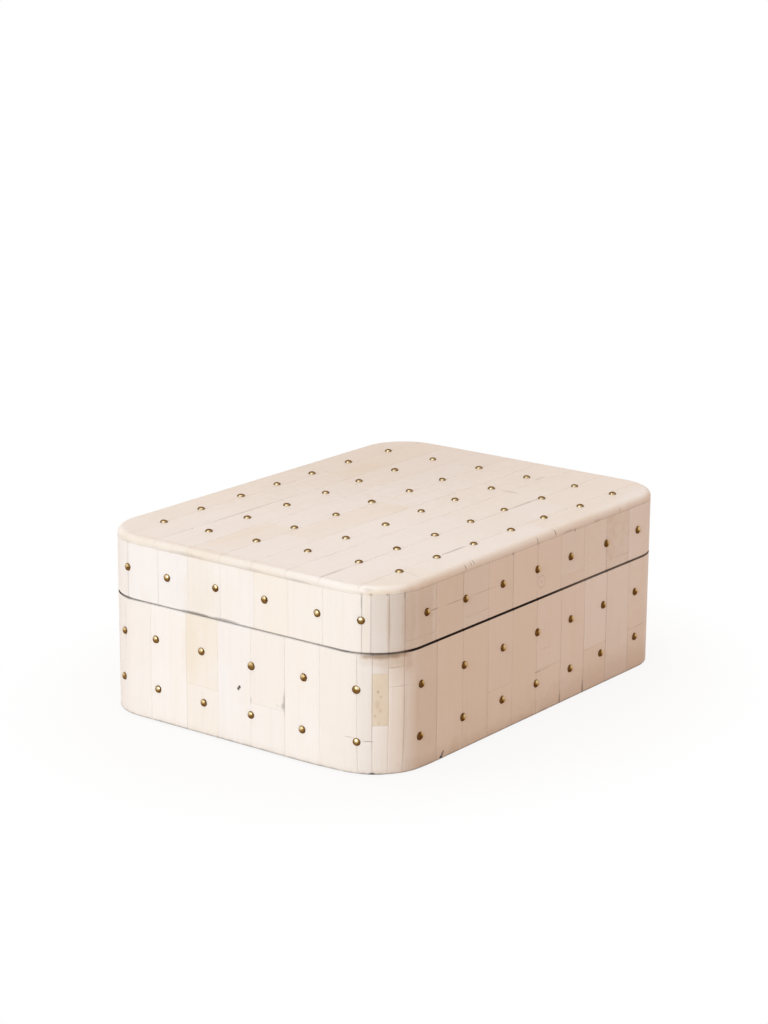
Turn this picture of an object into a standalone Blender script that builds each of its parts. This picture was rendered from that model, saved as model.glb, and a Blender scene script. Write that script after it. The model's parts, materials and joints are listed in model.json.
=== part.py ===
"""Keepsake box faced with strips of bone and set with domed brass studs.

Metres, +Z up. X runs along the box, the front faces -Y, and the origin is at the
middle of the underside. The lid turns on two brass butt hinges at the back, up to
the stop that the bevelled back edges of the bone make.
"""
from math import cos, pi, radians, sin

import bmesh
import bpy
from mathutils import Matrix, Vector

# Driving dimensions of the box, over the bone
LENGTH = 0.2000
WIDTH = 0.1468
BASE_HEIGHT = 0.0489
LID_HEIGHT = 0.0262
CORNER_RADIUS = 0.0217
TOP_ROUNDING = 0.0024
SEAM = 0.0004
GAP = 0.0003

# Bone facing: strips side by side. The sheet of a face runs on round its corners, over
# a share of the quarter turn, and two narrow strips fill what is left between two sheets.
# A short face's own last strip is as narrow as those.
SIDE_BONE = 0.0027
TOP_BONE = 0.0030
LONG_WRAP_SHARE = 0.204
SHORT_WRAP_SHARE = 0.417
LONG_FACE_STRIPS = 10
SHORT_FACE_STRIPS = 7
CORNER_STRIPS = 2
TOP_STRIPS = 9
JOINT_WIDTH = 0.0004
JOINT_DEPTH = 0.0003

# Wooden carcass and felt
WALL = 0.0090
FLOOR_BOARD = 0.0060
LID_BOARD = 0.0050
UNDERSIDE_FELT = 0.0008
FELT_PROUD = 0.0006
FLOOR_FELT = 0.0012

# Domed brass studs
STUD_RADIUS = 0.00165
STUD_HEIGHT = 0.0010
STUD_SINK = 0.0006
STUD_SIDES = 10

# Hinges, whose pin lies in the joint between the wood and the bone of the back
HINGE_FROM_END = 0.0400
HINGE_WIDTH = 0.0240
RIM_LAND = 0.0020
LEAF_THICKNESS = 0.0012
BARREL_RADIUS = 0.0020
PIN_RADIUS = 0.0009
PIN_CLEARANCE = 0.00008
KNUCKLES = 5
PIVOT_SHARE = 0.3
STOP_CLEARANCE = 0.0003
OPEN_ANGLE = radians(95)

# Countersunk hinge screws, two to a leaf
SCREW_HEAD_RADIUS = 0.0015
SCREW_HEAD_DEPTH = 0.0008
SCREW_SHANK_RADIUS = 0.0007
SCREW_LENGTH = 0.0070
SCREW_FROM_END = 0.0050
SCREW_CLEARANCE = 0.0001

# Steps of the round forms
ARC_STEP = radians(10)
SHARP_ANGLE = radians(40)
ROUNDING_STEPS = 4
BARREL_SIDES = 16
SCREW_SIDES = 12
OVERRUN = 0.0020

# Stud places along each face, as shares of the reach of its sheet of bone from its
# middle, + to the right of someone who faces it, and up it, as shares of the height.
# Those on top are shares of the box's length and width.
LONG_LID_SHARES = (-0.884, -0.589, -0.296, -0.012, 0.270, 0.583, 0.867)
LONG_UPPER_SHARES = (-0.921, -0.595, -0.285, -0.001, 0.284, 0.570, 0.857)
LONG_LOWER_SHARES = (-0.927, -0.599, -0.287, -0.006, 0.286, 0.556, 0.866)
SHORT_LID_SHARES = (-0.845, -0.524, -0.143, 0.232, 0.624, 0.917)
SHORT_UPPER_SHARES = (-0.891, -0.621, -0.258, 0.129, 0.524, 0.886)
SHORT_LOWER_SHARES = (-0.909, -0.607, -0.244, 0.124, 0.513, 0.886)
TOP_COLUMN_SHARES = (-0.377, -0.253, -0.127, 0.0, 0.117, 0.241, 0.369)
TOP_ROW_SHARES = (-0.411, -0.278, -0.108, 0.061, 0.233, 0.398)
LID_ROW_SHARE = 0.489
UPPER_ROW_SHARE = 0.708
LOWER_ROW_SHARE = 0.279

# Heights, from the felt that the box stands on up to its top
BONE_BOTTOM = FELT_PROUD
SEAM_Z = BONE_BOTTOM + BASE_HEIGHT
BASE_RIM = SEAM_Z - SEAM / 2
LID_RIM = SEAM_Z + SEAM / 2
TOP_Z = SEAM_Z + LID_HEIGHT
TOP_BONE_BOTTOM = TOP_Z - TOP_BONE
LID_BOARD_TOP = TOP_BONE_BOTTOM - GAP
LID_BOARD_BOTTOM = LID_BOARD_TOP - LID_BOARD
LID_WALL_TOP = LID_BOARD_BOTTOM - GAP
FLOOR_BOTTOM = UNDERSIDE_FELT + GAP
FLOOR_TOP = FLOOR_BOTTOM + FLOOR_BOARD
BASE_WALL_BOTTOM = FLOOR_TOP + GAP
FLOOR_FELT_BOTTOM = FLOOR_TOP + GAP

# Insets from the outer face of the bone
WOOD_INSET = SIDE_BONE + GAP
ROOM_INSET = WOOD_INSET + WALL
PIVOT_Y = WIDTH / 2 - SIDE_BONE - GAP * PIVOT_SHARE

# What follows from the corner and the wall: the corner's length round its bone, a narrow
# strip, and how far a hinge leaf reaches in from the pin, short of a land of bare rim
QUARTER = CORNER_RADIUS * pi / 2
NARROW_STRIP = QUARTER * (1 - LONG_WRAP_SHARE - SHORT_WRAP_SHARE) / CORNER_STRIPS
LEAF_DEPTH = PIVOT_Y - (WIDTH / 2 - ROOM_INSET) - RIM_LAND

FRONT, RIGHT, BACK, LEFT = "front", "right", "back", "left"
SIDES = (FRONT, RIGHT, BACK, LEFT)
CORNERS = {FRONT: "front_right", RIGHT: "back_right", BACK: "back_left", LEFT: "front_left"}


def clear_scene():
    """Removes whatever the scene holds."""
    for item in list(bpy.data.objects):
        bpy.data.objects.remove(item, do_unlink=True)


def material(name, colour, roughness, metallic=0.0):
    """A Principled BSDF material."""
    made = bpy.data.materials.new(name)
    made.use_nodes = True
    shader = made.node_tree.nodes["Principled BSDF"]
    shader.inputs["Base Color"].default_value = (*colour, 1.0)
    shader.inputs["Roughness"].default_value = roughness
    shader.inputs["Metallic"].default_value = metallic
    made.diffuse_color = (*colour, 1.0)
    return made


def new_object(name, mesh, finish, location=(0, 0, 0), turn=0.0, parent=None):
    """An object at a place in the world, turned about Z, and carried by its parent."""
    made = bpy.data.objects.new(name, mesh)
    bpy.context.scene.collection.objects.link(made)
    made.data.materials.append(finish)
    place(made, location, turn, parent)
    return made


def place(item, location, turn=0.0, parent=None):
    """Sets an object's place in the world, under a parent that is moved but not turned."""
    item.parent = parent
    item.location = Vector(location) - (parent.location if parent else Vector((0, 0, 0)))
    item.rotation_euler = (0, 0, turn)


def guide(item):
    """Marks an object as a cutter or a shape to be joined, not a piece of the box."""
    item.hide_render = True
    item.display_type = "WIRE"
    return item


def boolean(target, tool, operation):
    """Adds an exact Boolean that joins the tool to the target, or cuts it away."""
    step = target.modifiers.new(operation.lower(), "BOOLEAN")
    step.operation = operation
    step.object = tool
    step.solver = "EXACT"
    step.material_mode = "TRANSFER"


def smooth(mesh):
    """Shades a mesh smooth, but for its sharp edges."""
    mesh.shade_smooth()
    mesh.set_sharp_from_angle(angle=SHARP_ANGLE)


def mesh_of(name, vertices, faces):
    """A mesh from its corners and faces, with the faces turned outwards."""
    mesh = bpy.data.meshes.new(name)
    mesh.from_pydata(vertices, [], faces)
    form = bmesh.new()
    form.from_mesh(mesh)
    bmesh.ops.recalc_face_normals(form, faces=form.faces)
    form.to_mesh(mesh)
    form.free()
    return mesh


def loft(name, rings):
    """A closed solid through rings of points that have the same count, capped at both ends."""
    count = len(rings[0])
    vertices = [point for ring in rings for point in ring]
    faces = [tuple(range(count)), tuple(range(len(vertices) - count, len(vertices)))]
    for level in range(len(rings) - 1):
        low = level * count
        for step in range(count):
            ahead = (step + 1) % count
            faces.append((low + step, low + ahead, low + count + ahead, low + count + step))
    return mesh_of(name, vertices, faces)


def prism(name, outline, height):
    """A plan outline raised from z = 0 to a height."""
    return loft(name, [[(x, y, z) for x, y in outline] for z in (0, height)])


def turned(name, profile, sides):
    """A solid turned about Z from a profile of radius and height, bottom to top."""
    rings = []
    for radius, height in profile:
        angles = [2 * pi * step / sides for step in range(sides)]
        rings.append([(radius * cos(a), radius * sin(a), height) for a in angles])
    mesh = loft(name, rings)
    smooth(mesh)
    return mesh


def face_size(side):
    """The length of a side's face and the box's depth from the middle to that face."""
    if side in (FRONT, BACK):
        return LENGTH, WIDTH / 2
    return WIDTH, LENGTH / 2


def face_turn(side):
    """The turn about Z that takes a face from the front to its own side."""
    return SIDES.index(side) * pi / 2


def surface_point(side, distance, inset=0.0):
    """The plan point at a distance along a face from its middle, round the corners too."""
    length, depth = face_size(side)
    flat = length / 2 - CORNER_RADIUS
    if abs(distance) <= flat:
        return distance, inset - depth
    angle = (abs(distance) - flat) / CORNER_RADIUS
    radius = CORNER_RADIUS - inset
    across = flat + radius * sin(angle)
    return (across if distance > 0 else -across), CORNER_RADIUS - depth - radius * cos(angle)


def surface_turn(side, distance):
    """The angle by which the face has turned away at a distance along it."""
    length, _ = face_size(side)
    flat = length / 2 - CORNER_RADIUS
    past = max(abs(distance) - flat, 0)
    return past / CORNER_RADIUS if distance > 0 else -past / CORNER_RADIUS


def surface_stops(side, start, stop):
    """Distances along a face that follow its flat and its round corners."""
    length, _ = face_size(side)
    flat = length / 2 - CORNER_RADIUS
    stride = CORNER_RADIUS * ARC_STEP
    corner = [flat + stride * step for step in range(int(pi / 2 / ARC_STEP) + 1)]
    stops = [-distance for distance in reversed(corner)] + corner
    return [start] + [distance for distance in stops if start + GAP < distance < stop - GAP] + [stop]


def sheet_reach(side):
    """How far a face's bone reaches from its middle, round the corner to the narrow strips."""
    length, _ = face_size(side)
    wrap_share = LONG_WRAP_SHARE if side in (FRONT, BACK) else SHORT_WRAP_SHARE
    return length / 2 - CORNER_RADIUS + QUARTER * wrap_share


def strip_joints(side):
    """Distances along a face of the joints between its strips of bone."""
    if side in (FRONT, BACK):
        count, reach = LONG_FACE_STRIPS, sheet_reach(side)
        steps = range(1, count)
    else:
        count, reach = SHORT_FACE_STRIPS, sheet_reach(side) - NARROW_STRIP
        steps = range(count + 1)
    return [reach * (2 * step / count - 1) for step in steps]


def band(name, side, start, stop, joints, height):
    """A sheet of bone that follows a face from start to stop, with a groove at each joint."""
    half = JOINT_WIDTH / 2
    marks = [(d, 0) for d in surface_stops(side, start, stop) if all(abs(d - j) > half for j in joints)]
    for joint in joints:
        marks += [(joint - half, 0), (joint, JOINT_DEPTH), (joint + half, 0)]
    outer = [surface_point(side, distance, inset) for distance, inset in sorted(marks)]
    inner = [surface_point(side, distance, SIDE_BONE) for distance in surface_stops(side, start, stop)]
    return prism(name, outer + inner[::-1], height)


def rounded_outline(inset):
    """The plan of the box, brought in by an inset."""
    outline = []
    for side in SIDES:
        length, _ = face_size(side)
        flat = length / 2 - CORNER_RADIUS
        turn = Matrix.Rotation(face_turn(side), 2)
        for step in range(round(pi / 2 / ARC_STEP) + 1):
            point = surface_point(side, flat + CORNER_RADIUS * ARC_STEP * step, inset)
            outline.append(tuple(turn @ Vector(point)))
    return outline


def wall_outline(side):
    """The plan of a wall board: round outer corners, mitred ends and a straight inner face."""
    length, depth = face_size(side)
    flat = length / 2 - CORNER_RADIUS
    mitre = pi / 4 - GAP / 2 / (CORNER_RADIUS - WOOD_INSET)
    steps = round(mitre / ARC_STEP)
    stops = [flat + CORNER_RADIUS * mitre * step / steps for step in range(steps + 1)]
    right = [surface_point(side, distance, WOOD_INSET) for distance in stops]
    inner = (length / 2 - ROOM_INSET - GAP / 2 / sin(pi / 4), ROOM_INSET - depth)
    half = right + [inner]
    return half + [(-x, y) for x, y in reversed(half)]


def stud_mesh():
    """A domed head on a short collar that sinks into the bone."""
    bend = pi / 4
    shoulder = (STUD_RADIUS * cos(bend), STUD_HEIGHT * sin(bend))
    mesh = turned("stud", [(STUD_RADIUS, -STUD_SINK), (STUD_RADIUS, 0), shoulder], STUD_SIDES)
    form = bmesh.new()
    form.from_mesh(mesh)
    top = max(form.faces, key=lambda face: face.calc_center_median().z)
    centre = bmesh.ops.poke(form, faces=[top])["verts"][0]
    centre.co.z = STUD_HEIGHT
    form.to_mesh(mesh)
    form.free()
    return mesh


def studs(name, frames, finish, location, turn, parent):
    """All the studs of one sheet, as one shape that is joined to it."""
    single = stud_mesh()
    form = bmesh.new()
    for frame in frames:
        before = len(form.verts)
        form.from_mesh(single)
        form.verts.ensure_lookup_table()
        bmesh.ops.transform(form, matrix=frame, verts=form.verts[before:])
    mesh = bpy.data.meshes.new(name)
    form.to_mesh(mesh)
    form.free()
    return guide(new_object(name, mesh, finish, location, turn, parent))


def face_stud_frame(side, distance, height):
    """Where a stud sits on a face, with its dome along the face's normal there."""
    x, y = surface_point(side, distance)
    turn = Matrix.Rotation(surface_turn(side, distance), 4, "Z")
    return Matrix.Translation((x, y, height)) @ turn @ Matrix.Rotation(pi / 2, 4, "X")


def stud_rows(side, in_lid):
    """The rows of studs on a face: pairs of shares along it and height above its sheet's foot."""
    long_face = side in (FRONT, BACK)
    if in_lid:
        return [(LONG_LID_SHARES if long_face else SHORT_LID_SHARES, LID_HEIGHT * LID_ROW_SHARE)]
    upper = LONG_UPPER_SHARES if long_face else SHORT_UPPER_SHARES
    lower = LONG_LOWER_SHARES if long_face else SHORT_LOWER_SHARES
    return [(upper, BASE_HEIGHT * UPPER_ROW_SHARE), (lower, BASE_HEIGHT * LOWER_ROW_SHARE)]


def bone_sides(prefix, foot, height, in_lid, parent, bone, brass, groove):
    """The four face sheets and four corner sheets of the base or the lid."""
    for side in SIDES:
        reach = sheet_reach(side)
        turn = face_turn(side)
        mesh = band(f"{prefix}_{side}_bone", side, -reach, reach, strip_joints(side), height)
        sheet = new_object(mesh.name, mesh, bone, (0, 0, foot), turn, parent)
        frames = [
            face_stud_frame(side, share * reach, row_height)
            for shares, row_height in stud_rows(side, in_lid)
            for share in shares
        ]
        heads = studs(f"{prefix}_{side}_studs", frames, brass, (0, 0, foot), turn, parent)
        boolean(sheet, heads, "UNION")
        start = reach + GAP
        stop = reach + CORNER_STRIPS * NARROW_STRIP - GAP
        joints = [reach + NARROW_STRIP * step for step in range(1, CORNER_STRIPS)]
        mesh = band(f"{prefix}_{CORNERS[side]}_bone", side, start, stop, joints, height)
        corner = new_object(mesh.name, mesh, bone, (0, 0, foot), turn, parent)
        if side == BACK:
            boolean(sheet, groove, "DIFFERENCE")
        if side in (RIGHT, BACK):
            boolean(corner, groove, "DIFFERENCE")


def walls(prefix, foot, height, wood, parent):
    """The four mitred boards of the base or the lid."""
    made = {}
    for side in SIDES:
        mesh = prism(f"{prefix}_{side}_wall", wall_outline(side), height)
        made[side] = new_object(mesh.name, mesh, wood, (0, 0, foot), face_turn(side), parent)
    return made


def board(name, inset, foot, height, finish, parent):
    """A flat board or felt with the box's own outline."""
    mesh = prism(name, rounded_outline(inset), height)
    return new_object(name, mesh, finish, (0, 0, foot), 0.0, parent)


def top_bone(bone, brass, parent):
    """The bone on top of the lid: rounded over at its edge, grooved at the joints, studded."""
    rounding = min(TOP_ROUNDING, TOP_BONE - GAP)
    rings = [(0.0, 0.0)]
    for step in range(ROUNDING_STEPS + 1):
        angle = pi / 2 * step / ROUNDING_STEPS
        rings.append((rounding * (1 - cos(angle)), TOP_BONE - rounding * (1 - sin(angle))))
    mesh = loft("lid_top_bone", [[(x, y, z) for x, y in rounded_outline(inset)] for inset, z in rings])
    smooth(mesh)
    sheet = new_object(mesh.name, mesh, bone, (0, 0, TOP_BONE_BOTTOM), 0.0, parent)
    half = JOINT_WIDTH / 2
    for step in range(1, TOP_STRIPS):
        y = WIDTH * (step / TOP_STRIPS - 1 / 2)
        spread = half + OVERRUN * half / JOINT_DEPTH
        wedge = [(0, -JOINT_DEPTH), (spread, OVERRUN), (-spread, OVERRUN)]
        ends = LENGTH / 2 + OVERRUN
        rings = [[(x, across, up) for across, up in wedge] for x in (-ends, ends)]
        cutter = new_object(f"top_joint_{step}", loft("top_joint", rings), bone, (0, y, TOP_Z), 0.0, parent)
        boolean(sheet, guide(cutter), "DIFFERENCE")
    frames = [
        Matrix.Translation((column * LENGTH, row * WIDTH, TOP_BONE))
        for row in TOP_ROW_SHARES
        for column in TOP_COLUMN_SHARES
    ]
    heads = studs("lid_top_studs", frames, brass, (0, 0, TOP_BONE_BOTTOM), 0.0, parent)
    boolean(sheet, heads, "UNION")
    return sheet


def back_groove(finish):
    """The groove that the two bevelled back edges make, whose faces meet when the lid is open."""
    angle = OPEN_ANGLE / 2
    offset = STOP_CLEARANCE / 2
    reach = SIDE_BONE + OVERRUN
    rise = (offset + reach * sin(angle)) / cos(angle)
    wedge = [(-offset / sin(angle), 0), (reach, -rise), (reach, rise)]
    ends = LENGTH / 2 + OVERRUN
    mesh = loft("back_groove", [[(x, y, z) for y, z in wedge] for x in (-ends, ends)])
    return guide(new_object(mesh.name, mesh, finish, (0, PIVOT_Y, SEAM_Z)))


def rod(name, radius, length, finish, location, sides=BARREL_SIDES):
    """A round bar along X, centred on its place."""
    angles = [2 * pi * (step + 1 / 2) / sides for step in range(sides)]
    rings = [[(x, radius * cos(a), radius * sin(a)) for a in angles] for x in (-length / 2, length / 2)]
    mesh = loft(name, rings)
    smooth(mesh)
    return new_object(name, mesh, finish, location)


def block(name, low, high, finish, location):
    """A square block between two corners measured from its place."""
    outline = [(low[0], low[1]), (high[0], low[1]), (high[0], high[1]), (low[0], high[1])]
    mesh = loft(name, [[(x, y, z) for x, y in outline] for z in (low[2], high[2])])
    return new_object(name, mesh, finish, location)


def knuckle_spans():
    """The stretch along X of each knuckle, from the hinge's middle."""
    pitch = HINGE_WIDTH / KNUCKLES
    edges = [pitch * step - HINGE_WIDTH / 2 for step in range(KNUCKLES)]
    return [(edge + GAP / 2, edge + pitch - GAP / 2) for edge in edges]


def leaf(name, up, spans, brass, centre, parent):
    """One leaf of a butt hinge: a plate let into the rim, and its own knuckles on the pin."""
    half = HINGE_WIDTH / 2
    near, far = sorted((up * SEAM / 2, up * (SEAM / 2 + LEAF_THICKNESS)))
    clear = BARREL_RADIUS + GAP
    made = block(name, (-half, -LEAF_DEPTH, near), (half, -clear, far), brass, centre)
    for number, (start, stop) in enumerate(spans):
        low, high = (start, -clear - GAP, near), (stop, -PIN_RADIUS, far)
        tab = block(f"{name}_tab_{number}", low, high, brass, centre)
        boolean(made, guide(tab), "UNION")
        middle = Vector(((start + stop) / 2, 0, 0))
        barrel = rod(f"{name}_barrel_{number}", BARREL_RADIUS, stop - start, brass, Vector(centre) + middle)
        boolean(made, guide(barrel), "UNION")
    bore = rod(f"{name}_bore", PIN_RADIUS + PIN_CLEARANCE, HINGE_WIDTH + OVERRUN, brass, centre)
    boolean(made, guide(bore), "DIFFERENCE")
    place(made, centre, 0.0, parent)
    return made


def screw_profile(clearance):
    """A countersunk screw's profile, from its tip up to its head, level with z = 0."""
    shank = SCREW_SHANK_RADIUS + clearance
    head = SCREW_HEAD_RADIUS + clearance
    tip = -SCREW_LENGTH - clearance
    neck = -SCREW_HEAD_DEPTH - clearance
    return [(shank / 2, tip), (shank, tip + shank), (shank, neck), (head, -clearance)]


def screw(name, up, at, brass, targets, parent):
    """A countersunk screw, and the hole for it in the leaf and the rim."""
    hole_top = (SCREW_HEAD_RADIUS + SCREW_CLEARANCE, GAP)
    shank = turned(name, screw_profile(0), SCREW_SIDES)
    hole = turned(f"{name}_hole", screw_profile(SCREW_CLEARANCE) + [hole_top], SCREW_SIDES)
    for mesh in (shank, hole):
        if up > 0:
            mesh.transform(Matrix.Rotation(pi, 4, "X"))
    new_object(name, shank, brass, at, 0.0, parent)
    cutter = guide(new_object(hole.name, hole, brass, at, 0.0, parent))
    for target in targets:
        boolean(target, cutter, "DIFFERENCE")


def hinge(name, x, brass, walls_of, bones_of, pivot):
    """A butt hinge with its pin, its screws, and the recesses for it in the wood and the bone."""
    centre = Vector((x, PIVOT_Y, SEAM_Z))
    spans = knuckle_spans()
    rod(f"{name}_pin", PIN_RADIUS, HINGE_WIDTH - GAP, brass, centre)
    recess = guide(rod(f"{name}_barrel_recess", BARREL_RADIUS + GAP, HINGE_WIDTH + 2 * GAP, brass, centre))
    for part, up, own, parent in (("base", -1, spans[0::2], None), ("lid", 1, spans[1::2], pivot)):
        plate = leaf(f"{name}_{part}_leaf", up, own, brass, centre, parent)
        floor, mouth = sorted((0, up * (SEAM / 2 + LEAF_THICKNESS + GAP)))
        half = HINGE_WIDTH / 2 + GAP
        low, high = (-half, -LEAF_DEPTH - GAP, floor), (half, OVERRUN, mouth)
        mortise = guide(block(f"{name}_{part}_mortise", low, high, brass, centre))
        rim = walls_of[part]
        boolean(rim, mortise, "DIFFERENCE")
        boolean(rim, recess, "DIFFERENCE")
        boolean(bones_of[part], recess, "DIFFERENCE")
        middle = -(LEAF_DEPTH + BARREL_RADIUS + GAP) / 2
        reach = HINGE_WIDTH / 2 - SCREW_FROM_END
        for number, offset in enumerate((-reach, reach), 1):
            at = centre + Vector((offset, middle, up * SEAM / 2))
            screw(f"{name}_{part}_screw_{number}", up, at, brass, (plate, rim), parent)


def build():
    """Makes the whole box, lid closed."""
    clear_scene()
    bone = material("bone", (0.83, 0.76, 0.66), 0.38)
    wood = material("stained_wood", (0.13, 0.07, 0.04), 0.55)
    felt = material("felt", (0.03, 0.03, 0.035), 0.95)
    brass = material("brass", (0.62, 0.44, 0.18), 0.32, 1.0)

    pivot = bpy.data.objects.new("lid_pivot", None)
    bpy.context.scene.collection.objects.link(pivot)
    pivot.location = (0, PIVOT_Y, SEAM_Z)

    board("base_underside_felt", WOOD_INSET + GAP, 0.0, UNDERSIDE_FELT, felt, None)
    board("base_floor_board", WOOD_INSET, FLOOR_BOTTOM, FLOOR_BOARD, wood, None)
    base_walls = walls("base", BASE_WALL_BOTTOM, BASE_RIM - BASE_WALL_BOTTOM, wood, None)
    room = (LENGTH / 2 - ROOM_INSET - GAP, WIDTH / 2 - ROOM_INSET - GAP)
    low = (-room[0], -room[1], 0.0)
    block("base_floor_felt", low, (*room, FLOOR_FELT), felt, (0, 0, FLOOR_FELT_BOTTOM))

    lid_walls = walls("lid", LID_RIM, LID_WALL_TOP - LID_RIM, wood, pivot)
    board("lid_top_board", WOOD_INSET, LID_BOARD_BOTTOM, LID_BOARD, wood, pivot)
    top_bone(bone, brass, pivot)

    groove = back_groove(bone)
    bone_sides("base", BONE_BOTTOM, BASE_RIM - BONE_BOTTOM, False, None, bone, brass, groove)
    bone_sides("lid", LID_RIM, TOP_BONE_BOTTOM - GAP - LID_RIM, True, pivot, bone, brass, groove)

    back_walls = {"base": base_walls[BACK], "lid": lid_walls[BACK]}
    back_bones = {part: bpy.data.objects[f"{part}_back_bone"] for part in ("base", "lid")}
    out = LENGTH / 2 - HINGE_FROM_END
    for name, x in (("left_hinge", -out), ("right_hinge", out)):
        hinge(name, x, brass, back_walls, back_bones, pivot)


build()
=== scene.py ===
# %% [markdown]
# # A keepsake box in bone and brass
#
# The box is a wooden carcass faced with thin strips of bone, and small domed brass studs
# are nailed through the bone in rows. The carcass, the hinges and their screws come ready
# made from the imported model. This lesson lays the bone tile by tile, hammers in the studs,
# and gives every surface its finish.

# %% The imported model
import json
import math

import bmesh
import bpy
import numpy as np
from mathutils import Matrix, Vector


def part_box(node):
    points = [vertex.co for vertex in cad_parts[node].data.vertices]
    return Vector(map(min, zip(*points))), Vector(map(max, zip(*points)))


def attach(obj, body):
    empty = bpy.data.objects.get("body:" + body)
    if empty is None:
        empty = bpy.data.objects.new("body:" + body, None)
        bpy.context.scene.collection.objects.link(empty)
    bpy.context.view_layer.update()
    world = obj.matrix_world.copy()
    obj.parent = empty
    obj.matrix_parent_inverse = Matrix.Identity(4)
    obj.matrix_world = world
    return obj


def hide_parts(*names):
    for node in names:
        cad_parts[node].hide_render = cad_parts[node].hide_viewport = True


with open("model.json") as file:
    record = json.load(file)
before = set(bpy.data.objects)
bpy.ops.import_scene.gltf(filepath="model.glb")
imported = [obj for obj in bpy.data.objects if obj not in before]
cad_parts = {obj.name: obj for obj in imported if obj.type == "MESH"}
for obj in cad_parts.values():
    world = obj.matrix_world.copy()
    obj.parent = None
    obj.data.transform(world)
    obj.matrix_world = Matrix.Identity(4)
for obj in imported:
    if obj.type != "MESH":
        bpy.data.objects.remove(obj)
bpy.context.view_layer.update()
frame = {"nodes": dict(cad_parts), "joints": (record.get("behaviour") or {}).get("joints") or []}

MM = 0.001
# What the solids' boxes don't tell: their studs, round corners, rounded top and thin sheets
STUD_PROUD = 1.0 * MM
CORNER_RADIUS = 21.7 * MM
EDGE_ROUNDING = 2.4 * MM
BONE_THICKNESS = 2.6 * MM
# The room between the lid's side tiles and the bone of the top over them
HEAD_GAP = 0.08 * MM

hinge = frame["joints"][0]
side_low, side_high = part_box("base_front_bone")
top_low, top_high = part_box("lid_top_bone")
LENGTH = top_high.x - top_low.x
WIDTH = top_high.y - top_low.y
TOP_Z = top_high.z - STUD_PROUD
TOP_BONE_FOOT = top_low.z
BASE_FOOT = side_low.z
BASE_RIM = side_high.z
LID_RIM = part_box("lid_front_bone")[0].z
LID_SIDE_HEAD = TOP_BONE_FOOT - HEAD_GAP
SEAM_Z = (BASE_RIM + LID_RIM) / 2
PIVOT_Y = hinge["pos_m"][1]
OPEN_ANGLE = math.radians(hinge["range_deg"][1])
print(f"box {LENGTH / MM:.1f} x {WIDTH / MM:.1f} x {TOP_Z / MM:.1f} mm, seam at {SEAM_Z / MM:.1f} mm")

# %% [markdown]
# ## Walking round the box
#
# Every side tile lies on one surface: the four flats and the four round corners. It is
# easiest to lay tiles on it by the way walked round the box, as a maker measures with a
# tape. The tape starts where the left face meets the round corner nearest the camera.

# %% The way round the box
QUARTER = CORNER_RADIUS * math.pi / 2
FLATS = np.array([LENGTH, WIDTH, LENGTH, WIDTH]) - 2 * CORNER_RADIUS
REACHES = np.array([WIDTH, LENGTH, WIDTH, LENGTH]) / 2
STARTS = np.concatenate([[0.0], np.cumsum(QUARTER + FLATS)])
PERIMETER = STARTS[-1]
HALF_ROUND = PERIMETER / 2
print(f"the way round is {PERIMETER / MM:.1f} mm")


def outline(way, inset=0.0):
    """The plan point at a way round the box, brought in by an inset, and the normal there.

    On a corner it is the corner's centre plus the radius, less the inset, along the normal.
    On a flat it goes straight on from there. Each side is the front turned by quarter turns.
    """
    way = np.asarray(way, float) % PERIMETER
    side = np.clip(np.searchsorted(STARTS, way, side="right") - 1, 0, len(FLATS) - 1)
    along = way - STARTS[side]
    angle = np.minimum(along / CORNER_RADIUS, np.pi / 2) - np.pi / 2
    past = np.maximum(along - QUARTER, 0)
    radius = CORNER_RADIUS - inset
    x = past - FLATS[side] / 2 + radius * np.sin(angle)
    y = CORNER_RADIUS - REACHES[side] - radius * np.cos(angle)
    cos, sin = np.cos(side * np.pi / 2), np.sin(side * np.pi / 2)
    normal_x, normal_y = np.sin(angle), -np.cos(angle)
    turned_x, turned_y = x * cos - y * sin, x * sin + y * cos
    return turned_x, turned_y, normal_x * cos - normal_y * sin, normal_x * sin + normal_y * cos


# %% [markdown]
# ## Rims and a worn foot
#
# The rims of base and lid are level but for a bevel at the back, where they meet and stop the
# lid when it is open. The foot of the near corner has been knocked and rubbed away over the
# years. Both could be cut into the finished pieces, but as functions of the place alone they
# are there before any piece is, and tiles, filler and studs all follow them.

# %% The bevelled rims and the worn foot
STOP_CLEARANCE = 0.15 * MM
FOOT_WEAR = 2.0 * MM
WEAR_MIDDLE = 13.0 * MM
WEAR_REACH = 32.0 * MM
WEAR_HEIGHT = 25.0 * MM


def rim_height(y, up):
    """The height of the lid's rim (up = 1) or the base's (up = -1) at a depth y.

    It is half the seam away from the middle of the seam. Behind the hinge pin it is
    bevelled: the bevel rises by the tangent of half the opening angle.
    """
    half = OPEN_ANGLE / 2
    bevel = (STOP_CLEARANCE + (y - PIVOT_Y) * math.sin(half)) / math.cos(half)
    return SEAM_Z + up * np.maximum((LID_RIM - BASE_RIM) / 2, bevel)


def foot_wear(way, height):
    """How worn the foot of the near corner is, from 0 to 1, by way and height: the squared
    cosine of the way from its middle, times the square of the share still to climb."""
    away = np.abs((way - WEAR_MIDDLE + HALF_ROUND) % PERIMETER - HALF_ROUND)
    across = np.cos(np.minimum(away / WEAR_REACH, 1) * np.pi / 2) ** 2
    return across * np.clip(1 - (height - BASE_FOOT) / WEAR_HEIGHT, 0, 1) ** 2


print(f"the foot is worn by {FOOT_WEAR / MM:.1f} mm, {WEAR_MIDDLE / MM:.0f} mm round the near corner")

# %% [markdown]
# ## Meshes from grids
#
# A tile is a grid of points: down into the joint, over a worn arris, across the face and
# down again. It could be a box that is bevelled and bent, but working out whole grids at once
# keeps each surface a formula, and the same few lines turn any grid into a closed piece.


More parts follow.
